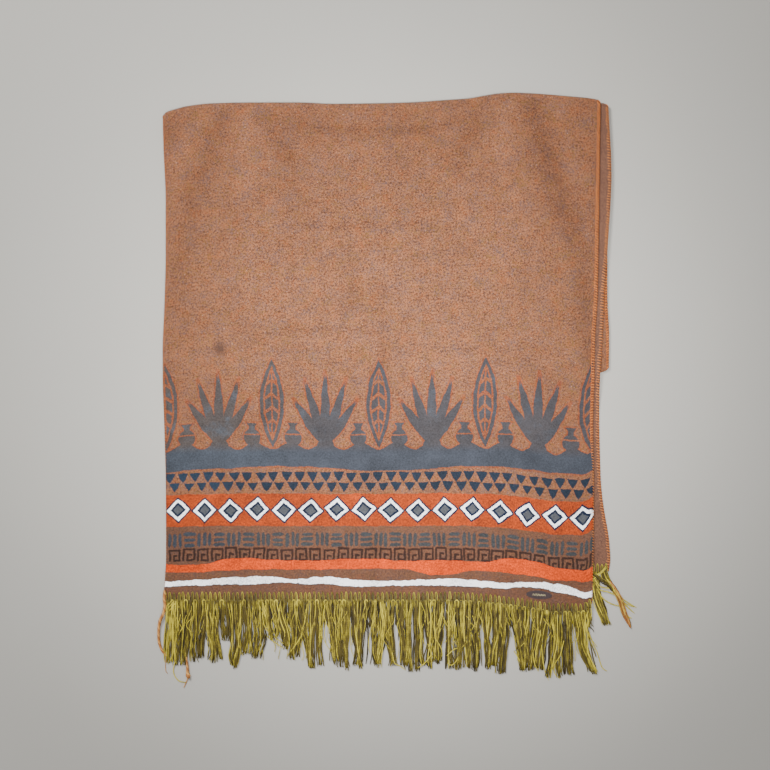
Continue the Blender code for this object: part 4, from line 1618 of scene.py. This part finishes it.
# Heights between which the wool below the bands grows darker, the figures' own slate begins, the rust edge
# begins and the scumble grows, and the least height of the figures
LOWER_WOOL, FIGURE_SLATE, RUST_UP, SCUMBLE_UP = (150.0, 92.0), (198.0, 212.0), (170.0, 180.0), (196.0, 216.0)
FIGURES_LOW = 198.0

# Places across between which the slate grows darker, a painted shade towards the middle and right that
# offsets the pool of light there, and the navy and the dashes grow bluer
SLATE_SHADE_ACROSS, BLUE_NAVY, BLUE_DASHES = (-200.0, -60.0), (-150.0, -290.0), (-120.0, -290.0)


def plain_wool(graph, colours, along, u, r, wool, smudge):
    """The unpainted wool: dark and light fibres with warm, olive and mauve ones, lint and a few marks."""
    crisp = graph.ramp(graph.far(u, r - CRISP_AT), CRISP_FROM, CRISP_TO) * 0.5 + 0.78
    cloth = graph.blend((wool["Grain"] - 0.5) * crisp + 0.5, colours.wool_dark, colours.wool_light)
    drift = graph.noise(along, 0.019, 3.0, 0.6, shift=12.0)
    warm = graph.ramp(wool["Tint"] + (drift[0] - 0.5) * 0.6, 0.5, 0.74) * 0.5
    cool = graph.ramp(wool["Hue"] + (drift[0] - 0.5) * 0.6, 0.52, 0.27) * 0.65
    olive = graph.ramp(wool["Hue"] + (drift[2] - 0.5) * 0.6, 0.52, 0.75) * 0.6
    for share, over in (
        (warm, colours.wool_orange),
        (olive, colours.wool_olive),
        (cool, colours.wool_mauve),
        (wool["Fleck"] * 0.42, colours.lint),
        (graph.ramp(smudge[0], 0.5, 0.75) * 0.16, colours.wool_shade),
    ):
        cloth = graph.blend(share, cloth, over)
    for name, across, up, half, share in SPOTS:
        near = graph.ramp(graph.far(u - across, r - up), half, 0.0) * share
        cloth = graph.blend(near, cloth, getattr(colours, name))
    return cloth


def painted_cloth(colours):
    """Heathered brown wool, with its painted bands on the front layer and its wrong side plain.

    Each band is a distance inside its outline, made into a mask by a ramp a little under a millimetre wide,
    and is laid over what is below it. The nap shows less where there is paint.
    """
    material, graph, shader = new_material("painted_wool", sheen=0.05, sheen_rough=0.6, specular=0.15)
    along = graph.uv()
    parts = graph.parts(along)
    hand = graph.noise(along, 0.016, 2.0, 0.5)
    fray = graph.noise(along, 0.0021, 1.0, 0.6, shift=5.0)
    u, r = (
        part / MM + (hand[number] - 0.5) * HAND_SHIFT + (fray[number] - 0.5) * FRAY_SHIFT
        for number, part in enumerate(parts)
    )
    r = r + graph.ramp(u, *DROP_FROM) * RIGHT_DROP
    painted = graph.attribute("painted")
    wool = graph.group(wool_grain(), Vector=along, Size=TUFT)
    smudge = graph.noise(along, 0.055, 3.0, 0.6, shift=2.0)
    cloth = plain_wool(graph, colours, along, u, r, wool, smudge)
    lower = graph.ramp(r, *LOWER_WOOL) * painted
    cloth = graph.blend(lower * 0.5, cloth, colours.wool_low)
    wrong = graph.blend(wool["Grain"] * 0.6 + 0.15, colours.wrong_dark, colours.wrong_light)
    cloth = graph.blend(painted, wrong, cloth)

    tone = wool["Grain"] * 0.16 + wool["Slow"] * 0.5
    coat = {"colour": cloth, "cover": 0.0}

    def paint(mask, over):
        shown = mask * painted
        coat["colour"] = graph.blend(shown, coat["colour"], over)
        coat["cover"] = graph.most(coat["cover"], shown)

    hills = graph.math("COSINE", (u - MOTIF_FIRST) * (2 * math.pi / HILL_PITCH)) * HILL_RISE + HILL_AT
    ground = graph.least(r - graph.curve(GROUND, "across", "low", u), hills - r)
    figures = graph.least(motifs(graph, u, r), r - FIGURES_LOW)
    slate = graph.most(ground, figures)
    halo = graph.ramp(slate, -3.6, -0.5) * graph.ramp(r, *RUST_UP) * (hand[2] * 0.9 + 0.1)
    paint(halo, colours.rust)
    scumble = graph.ramp(graph.noise(along, 0.022, 4.0, 0.7, shift=9.0)[0], 0.48, 0.68)
    grey = graph.blend(graph.ramp(r, *FIGURE_SLATE), colours.slate, colours.slate_figure)
    pale = scumble * (graph.ramp(r, *SCUMBLE_UP) * 0.36 + 0.08)
    grey = graph.blend(pale, grey, colours.slate_pale)
    # The slate darkens with the grain's tone, and across the cloth by painted shade that offsets the pool of
    # light
    dark = tone * 0.5 + graph.ramp(u, *SLATE_SHADE_ACROSS) * 0.42
    grey = graph.blend(dark, grey, colours.slate_dark)
    paint(graph.ramp(slate, -0.5, 0.5), grey)

    for row in np.stack(list(TRIANGLES.values()), axis=1).tolist():
        inside = triangle_row(graph, u, r, *row)
        navy = graph.blend(graph.ramp(u, *BLUE_NAVY) * 0.6, colours.navy, colours.blue)
        paint(graph.ramp(inside, -0.45, 0.45) * 0.96, graph.blend(tone * 0.08, navy, colours.slate))

    wide = graph.least(r - WIDE_LOW, WIDE_HIGH - r)
    strong = (wool["Grain"] - 0.5) * 0.5 + (wool["Slow"] - 0.5) * 1.3 + 0.45
    orange = graph.blend(strong, colours.orange_dark, colours.orange)
    paint(graph.ramp(wide, -0.5, 0.5), orange)
    inside = diamonds(graph, u, r)
    for depth, colour in (
        (0.0, colours.outline),
        (DIAMOND_LINE, colours.white),
        (DIAMOND_HALF - EYE_HALF, colours.outline),
        (DIAMOND_HALF - EYE_HALF + EYE_LINE, colours.grey),
    ):
        paint(graph.ramp(inside, depth - 0.35, depth + 0.35), colour)

    dash = graph.blend(tone, colours.dash_dark, colours.dash)
    dash = graph.blend(graph.ramp(u, *BLUE_DASHES) * 0.45, dash, colours.blue)
    paint(graph.ramp(dashes(graph, u, r), -0.9, 0.9) * 0.88, dash)
    paint(graph.ramp(keys(graph, u, r), -0.8, 0.4) * 0.92, colours.key)

    thin_low, thin_high, strip_low, strip_high = (
        graph.curve(rows, "across", column, u)
        for rows in (THIN_ORANGE, WHITE_STRIPE)
        for column in ("low", "high")
    )
    thin = graph.least(r - thin_low, thin_high - r)
    paint(graph.ramp(thin, -0.45, 0.45), graph.blend(strong, colours.thin_dark, colours.thin))
    torn = (graph.noise(along, 0.0065, 2.0, 0.6, shift=4.0)[2] - 0.5) * 3.4
    strip = graph.least(r - strip_low, strip_high - r) + torn
    paint(graph.ramp(strip, -1.4, -0.7) * graph.ramp(strip_high - r, 2.0, 5.0) * 0.75, colours.outline)
    paint(graph.ramp(strip, -0.35, 0.35), colours.white)

    cover = coat["cover"]
    patchy = graph.noise(along, 0.03, 3.0, 0.65, shift=17.0)[1] - 0.5
    # The shade attribute adds painted shade and highlight from the folds and the cloth's two sides
    cloud = graph.ramp(smudge[1], 0.3, 0.7) * 0.14 + 0.93 + graph.attribute("shade")
    value = ((wool["Grain"] - 0.5) * 0.5 + patchy * 0.9) * cover + cloud
    colour = graph.place("ShaderNodeHueSaturation", {"Color": coat["colour"], "Value": value}).outputs[0]
    rough = 0.93 - cover * 0.2
    finish_material(graph, shader, colour, rough, wool["Height"], 0.0009, 0.55 - cover * 0.3)
    return material


def yarn_material(name, shades, plies=2.0, pitch=0.0032, ply=0.22, raised=0.7):
    """Soft twisted yarn whose tone runs from dark to light by the attribute tone, with slubs along it.

    shades are its dark, middle and light colour. ply is how far the tone changes over a ply, a painted shade
    in the grooves between the plies, and raised is how strongly the plies stand out.
    """
    material, graph, shader = new_material(name, sheen=0.03, sheen_rough=0.4, specular=0.25)
    slub = graph.noise(graph.spot(), 0.011, 2.0, 0.6, stretch=(2.4, 1, 1))[0] - 0.5
    twist = graph.group(yarn_twist(), Vector=graph.uv(), Plies=plies, Pitch=pitch)
    level = graph.attribute("tone") + slub * 0.7 + (twist["Ply"] - 0.5) * ply
    colour = graph.blend(graph.ramp(level, 0.0, 0.5), *shades[:2])
    colour = graph.blend(graph.ramp(level, 0.45, 1.0), colour, shades[2])
    finish_material(graph, shader, colour, 0.5, twist["Height"], 0.0002, raised)
    return material


def label_material(colours):
    """Dark woven label cloth: fine crossing ribs, 0.6 mm apart, under a little grain."""
    material, graph, shader = new_material("label_cloth", sheen=0.3)
    place = graph.spot()
    ribs = [graph.math("SINE", part * (2 * math.pi / 0.0006)) for part in graph.parts(place)]
    weave = ribs[0] * ribs[1] * 0.5 + 0.5
    wool = graph.group(wool_grain(), Vector=place, Size=0.0016)
    colour = graph.blend(wool["Grain"] * 0.6 + weave * 0.25, colours.label_dark, colours.label)
    finish_material(graph, shader, colour, 0.85 - weave * 0.1, weave + wool["Height"], 0.0002, 0.5)
    return material


def floor_material(colours):
    """A plain pale matt surface, with only a trace of unevenness."""
    material, graph, shader = new_material("pale_floor", sheen=0.0, specular=0.2)
    cloud = graph.noise(graph.spot(), 0.35, 3.0, 0.5)[0]
    darker = tuple(part * 0.975 for part in colours.floor)
    colour = graph.blend(graph.ramp(cloud, 0.3, 0.7), colours.floor, darker)
    finish_material(graph, shader, colour, 0.85 + cloud * 0.1, cloud, 0.0002, 0.1)
    return material


def colour_setting(title, *screen):
    """A colour that a user can change, given as on a screen."""
    return bpy.props.FloatVectorProperty(
        name=title,
        description=f"Colour of the {title.lower()}",
        default=srgb(*screen),
        subtype="COLOR",
        min=0,
        max=1,
    )


def length_setting(title, description, length):
    """A length in metres, given in millimetres."""
    default = length * MM
    return bpy.props.FloatProperty(name=title, description=description, default=default, unit="LENGTH", min=0)


def count_setting(title, description, count, least):
    """A whole number that isn't below the least."""
    return bpy.props.IntProperty(name=title, description=description, default=count, min=least)


class StoleColours(bpy.types.PropertyGroup):
    """The colours of the cloth, its paint, its yarn and the floor."""

    wool_dark: colour_setting("Dark wool fibres", 68, 43, 32)
    wool_light: colour_setting("Light wool fibres", 149, 98, 68)
    wool_orange: colour_setting("Orange wool flecks", 138, 73, 36)
    wool_mauve: colour_setting("Mauve wool flecks", 96, 75, 73)
    wool_olive: colour_setting("Olive wool flecks", 104, 77, 38)
    wool_shade: colour_setting("Shade in the wool", 78, 52, 40)
    wool_low: colour_setting("Lower wool", 66, 49, 42)
    wrong_dark: colour_setting("Dark wrong side", 72, 50, 42)
    wrong_light: colour_setting("Light wrong side", 124, 86, 67)
    lint: colour_setting("Lint", 200, 166, 146)
    rust: colour_setting("Rust edge of the slate paint", 122, 54, 22)
    slate: colour_setting("Slate paint", 54, 59, 67)
    slate_figure: colour_setting("Slate paint of the figures", 66, 58, 54)
    slate_pale: colour_setting("Pale slate paint", 72, 83, 94)
    slate_dark: colour_setting("Dark slate paint", 46, 48, 55)
    navy: colour_setting("Navy paint", 5, 30, 46)
    blue: colour_setting("Blue paint", 18, 45, 64)
    orange: colour_setting("Wide orange band", 168, 62, 10)
    orange_dark: colour_setting("Dark orange paint", 122, 46, 12)
    thin: colour_setting("Thin orange stripe", 216, 72, 0)
    thin_dark: colour_setting("Dark thin orange stripe", 170, 56, 2)
    white: colour_setting("White paint", 255, 255, 255)
    outline: colour_setting("Outlines of the diamonds", 5, 20, 44)
    grey: colour_setting("Grey paint", 68, 70, 74)
    dash: colour_setting("Dashes", 48, 60, 64)
    dash_dark: colour_setting("Dark dashes", 38, 46, 50)
    key: colour_setting("Square spirals", 37, 20, 15)
    yarn_dark: colour_setting("Dark yarn", 36, 28, 6)
    yarn: colour_setting("Yarn", 80, 68, 15)
    yarn_light: colour_setting("Light yarn", 196, 180, 56)
    edge_dark: colour_setting("Dark edge thread", 104, 54, 24)
    edge: colour_setting("Edge thread", 160, 84, 34)
    edge_light: colour_setting("Light edge thread", 210, 128, 60)
    tan_dark: colour_setting("Dark tan yarn", 100, 58, 26)
    tan: colour_setting("Tan yarn", 156, 98, 46)
    tan_light: colour_setting("Light tan yarn", 200, 148, 80)
    label: colour_setting("Label", 56, 37, 38)
    label_dark: colour_setting("Dark label", 32, 20, 22)
    cream: colour_setting("Label thread", 196, 184, 140)
    floor: colour_setting("Floor", 172, 169, 162)


class StoleSizes(bpy.types.PropertyGroup):
    """How finely the cloth and the fringe are made, and how thick their yarn is."""

    columns: count_setting("Columns", "Points across the cloth", 122, 20)
    rows: count_setting("Rows", "Rows of points on the front layer", 176, 20)
    yarns: count_setting("Yarns", "Yarns that hang from each loop", 11, 1)
    yarn_radius: length_setting("Yarn radius", "Half the thickness of a fringe yarn", 0.8)
    loop_length: length_setting("Loop length", "Length of a loop over the cloth's end", 12.4)
    stitch_pitch: length_setting("Stitch pitch", "Length of one stitch along the long edges", 3.7)
    camera_height: length_setting("Camera height", "Height of the camera above the floor", 2600)
    view_width: length_setting("View width", "Width of the picture at the height of the front layer", 1039.5)


def shades(colours, name):
    """The dark, middle and light colour of a yarn."""
    return [tuple(getattr(colours, name + ending)) for ending in ("_dark", "", "_light")]


def fringe_piece(name, bundles, material, *nodes):
    """A piece of a fringe, of bundles of tubes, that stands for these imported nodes."""
    return ride(join_tubes(name, bundles, material), "fringe_yarn", *nodes)


# The tone of each ply of the tan yarn
TAN_TONES = (0.95, 0.68, 0.42)


class STOLE_OT_front_fringe(bpy.types.Operator):
    """Make the front fringe: its loops, its hanging yarn and the loose yarns on it."""

    bl_idname = "stole.make_front_fringe"
    bl_label = "Front fringe"

    def execute(self, context):
        sizes, colours = context.scene.stole_sizes, context.scene.stole_colours
        rng = np.random.default_rng(7)
        olive = shades(colours, "yarn")
        yarn = yarn_material("olive_yarn", olive, ply=0.07, raised=0.3)
        wound = yarn_material("wound_yarn", olive, plies=9.0, pitch=0.06)
        tan = yarn_material("tan_yarn", shades(colours, "tan"), plies=3.0, pitch=0.005)
        edges = cells(FRONT_SIDES, FRONT_LINE)
        between = edges[:-1] + LOOP_PITCH / 2
        radius = sizes.yarn_radius / MM
        lie = {"each": sizes.yarns, "steps": 15, "radius": radius, "rise": 2.4}
        hanging = yarns(rng, between, front_end, FRONT_LOCKS, lock_underside, **lie)
        fringe_piece("front_fringe_yarn", [hanging], yarn, "front_fringe")
        looped = loops(rng, edges, front_end, front_height, sizes.loop_length / MM)
        fringe_piece("front_fringe_loops", looped, wound)
        fringe_piece("front_root_arches", arches(rng, edges, front_end, radius), yarn)
        slipped = strays(rng, edges, front_end, count=120, radius=0.42)
        fringe_piece("front_loose_yarn", [slipped, (loose_tubes(LOOSE, radius=0.68), 0.9)], yarn)
        plies = len(TAN_TONES)
        wound_tan = [(twisted(rows, 110, plies, pitch=10.0), np.array(TAN_TONES)) for rows in TAN.values()]
        fringe_piece("tan_loose_yarn", wound_tan, tan)
        return {"FINISHED"}


class STOLE_OT_back_fringe(bpy.types.Operator):
    """Make the fringe of the back end, which shows beside the front layer at the right."""

    bl_idname = "stole.make_back_fringe"
    bl_label = "Back fringe"

    def execute(self, context):
        sizes = context.scene.stole_sizes
        rng = np.random.default_rng(19)
        yarn, wound, tan = (bpy.data.materials[name] for name in ("olive_yarn", "wound_yarn", "tan_yarn"))
        edges = cells(BACK_SIDE, BACK_LINE)
        radius = sizes.yarn_radius / MM
        lie = {"each": 7, "steps": 10, "radius": radius, "rise": 0.7}
        hanging = [yarns(rng, edges[:-4], back_end, BACK_LOCKS, on_surface, **lie)]
        own = np.random.default_rng(5)
        for draws, name, count, low, rise, thick in (
            (rng, "near", 24, 0.0, 1.7, 0.9),
            (rng, "far", 18, 0.0, 2.2, 0.9),
            (own, "tie", 9, 2.4, 1.5, 0.8),
        ):
            hanging.append(bundle(draws, BACK_BUNDLES[name], count, low, rise, radius * thick))
        fringe_piece("back_fringe_yarn", hanging, yarn, "back_fringe")
        looped = loops(rng, edges, back_end, back_height, sizes.loop_length / MM)
        fringe_piece("back_fringe_loops", looped, wound)
        fringe_piece("back_loose_yarn", [(loose_tubes(BACK_LOOSE, radius=0.8), 0.85)], yarn)
        streak = bundle(rng, BACK_BUNDLES["tan"], count=8, low=0.6, rise=2.2, radius=0.62)
        fringe_piece("back_tan_yarn", [streak], tan)
        return {"FINISHED"}


class STOLE_OT_label(bpy.types.Operator):
    """Make the dark oval label and its plain cream stitches."""

    bl_idname = "stole.make_label"
    bl_label = "Label"

    def execute(self, context):
        colours = context.scene.stole_colours
        ride(label_piece(label_material(colours)), "label_cloth", "label")
        cream = tuple(colours.cream)
        dark = tuple(part * 0.6 for part in cream)
        thread = yarn_material("label_thread", (dark, cream, cream), pitch=0.001)
        ride(label_stitches(thread), "label_cloth")
        return {"FINISHED"}


class STOLE_OT_cloth(bpy.types.Operator):
    bl_idname = "stole.make_cloth"
    bl_label = "Cloth"

    def execute(self, context):
        sizes, colours = context.scene.stole_sizes, context.scene.stole_colours
        grid, along, across = cloth_grid(sizes.columns, sizes.rows)
        cloth = ride(cloth_piece(grid, along, across, painted_cloth(colours)), "painted_wool", "cloth")
        thread = yarn_material("edge_thread", shades(colours, "edge"), pitch=0.002)
        rng = np.random.default_rng(31)
        pitch = sizes.stitch_pitch / MM
        right = overlock(grid, -1, rng, pitch, wide=2.3, high=1.2, radius=0.62, overhang=0.5)
        core = edge_thread(grid, -1, pitch, radius=1.0, overhang=-0.6, lift=0.3, swing=0.25)
        chain = edge_thread(grid, -1, pitch, radius=0.5, overhang=-3.5, lift=0.95, swing=0.7)
        stitches = [(right, 0.78), (core, 0.05), (chain, 0.4)]
        ride(join_tubes("right_edge_thread", stitches, thread), "painted_wool")
        left = overlock(grid, 0, rng, pitch, wide=1.1, high=0.95, radius=0.5, overhang=0.3)
        ride(join_tubes("left_edge_thread", [(left, 0.5)], thread), "painted_wool")
        pieces = [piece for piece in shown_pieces() if piece != cloth]
        return {"FINISHED"}


# The stage, in metres: half the floor's side, what the lamps aim at, and the light from all round
FLOOR_HALF, LAMPS_AIM = 4.0, Vector((0.0, 0.03, 0.0))
SKY_COLOUR, SKY_STRENGTH = (0.97, 0.98, 1.0, 1.0), 0.44

# Each lamp's name, kind, place, size and power; the angle of the spot's cone; and the millimetres of the plan
# that the camera stands over
LAMPS = (("key", "AREA", (-1.3, 1.6, 2.1), 1.0, 112.0), ("pool", "SPOT", (0.35, -0.6, 2.9), 0.3, 900.0))
SPOT_ANGLE = math.radians(19.5)
CAMERA_OVER = (8.1, 290.25, 0)


class STOLE_OT_stage(bpy.types.Operator):
    """Make the floor, the soft lights and the camera, which looks straight down."""

    bl_idname = "stole.make_stage"
    bl_label = "Stage"

    def execute(self, context):
        scene, sizes, colours = context.scene, context.scene.stole_sizes, context.scene.stole_colours
        half = FLOOR_HALF
        corners = [(-half, -half, 0), (half, -half, 0), (half, half, 0), (-half, half, 0)]
        mesh = bpy.data.meshes.new("floor")
        mesh.from_pydata(corners, [], [(0, 1, 2, 3)])
        mesh.materials.append(floor_material(colours))
        floor = bpy.data.objects.new("floor", mesh)
        scene.collection.objects.link(floor)
        floor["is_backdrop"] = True

        for name, kind, place, size, power in LAMPS:
            light = bpy.data.lights.new(name, kind)
            light.energy = power
            if kind == "AREA":
                light.shape = "DISK"
                light.size = size
            else:
                light.shadow_soft_size = size
                light.spot_size = SPOT_ANGLE
                light.spot_blend = 1.0
            lamp = bpy.data.objects.new(name, light)
            lamp.location = place
            lamp.rotation_euler = (LAMPS_AIM - Vector(place)).to_track_quat("-Z", "Y").to_euler()
            scene.collection.objects.link(lamp)

        world = bpy.data.worlds.new("studio")
        world.use_nodes = True
        sky = world.node_tree.nodes["Background"]
        sky.inputs["Color"].default_value = SKY_COLOUR
        sky.inputs["Strength"].default_value = SKY_STRENGTH
        scene.world = world

        middle = plan_to_frame() + np.array(CAMERA_OVER)
        data = bpy.data.cameras.new("camera")
        data.sensor_width = 36.0
        top = (FRONT_Z + THICK / 2) * MM
        data.lens = data.sensor_width * (sizes.camera_height - top) / sizes.view_width
        camera = bpy.data.objects.new("camera", data)
        camera.location = (middle[0] * MM, middle[1] * MM, sizes.camera_height)
        scene.collection.objects.link(camera)
        scene.camera = camera
        return {"FINISHED"}


class STOLE_PT_panel(bpy.types.Panel):
    """The stole's sizes, its colours, and a button for each group of its pieces."""

    bl_idname = "STOLE_PT_panel"
    bl_label = "Stole"
    bl_space_type = "VIEW_3D"
    bl_region_type = "UI"
    bl_category = "Stole"

    def draw(self, context):
        for operator in OPERATORS:
            self.layout.operator(operator.bl_idname)
        for group in (context.scene.stole_sizes, context.scene.stole_colours):
            box = self.layout.box()
            for name in group.bl_rna.properties.keys():
                if name not in ("rna_type", "name"):
                    box.prop(group, name)


OPERATORS = (STOLE_OT_front_fringe, STOLE_OT_back_fringe, STOLE_OT_label, STOLE_OT_cloth, STOLE_OT_stage)
CLASSES = (StoleColours, StoleSizes, *OPERATORS, STOLE_PT_panel)


def register():
    for made in CLASSES:
        bpy.utils.register_class(made)
    bpy.types.Scene.stole_colours = bpy.props.PointerProperty(type=StoleColours)
    bpy.types.Scene.stole_sizes = bpy.props.PointerProperty(type=StoleSizes)


def unregister():
    del bpy.types.Scene.stole_sizes
    del bpy.types.Scene.stole_colours
    for made in reversed(CLASSES):
        bpy.utils.unregister_class(made)


def main():
    register()
    bpy.ops.stole.make_front_fringe()
    bpy.ops.stole.make_back_fringe()
    bpy.ops.stole.make_label()
    bpy.ops.stole.make_cloth()
    bpy.ops.stole.make_stage()


if __name__ == "__main__":
    main()
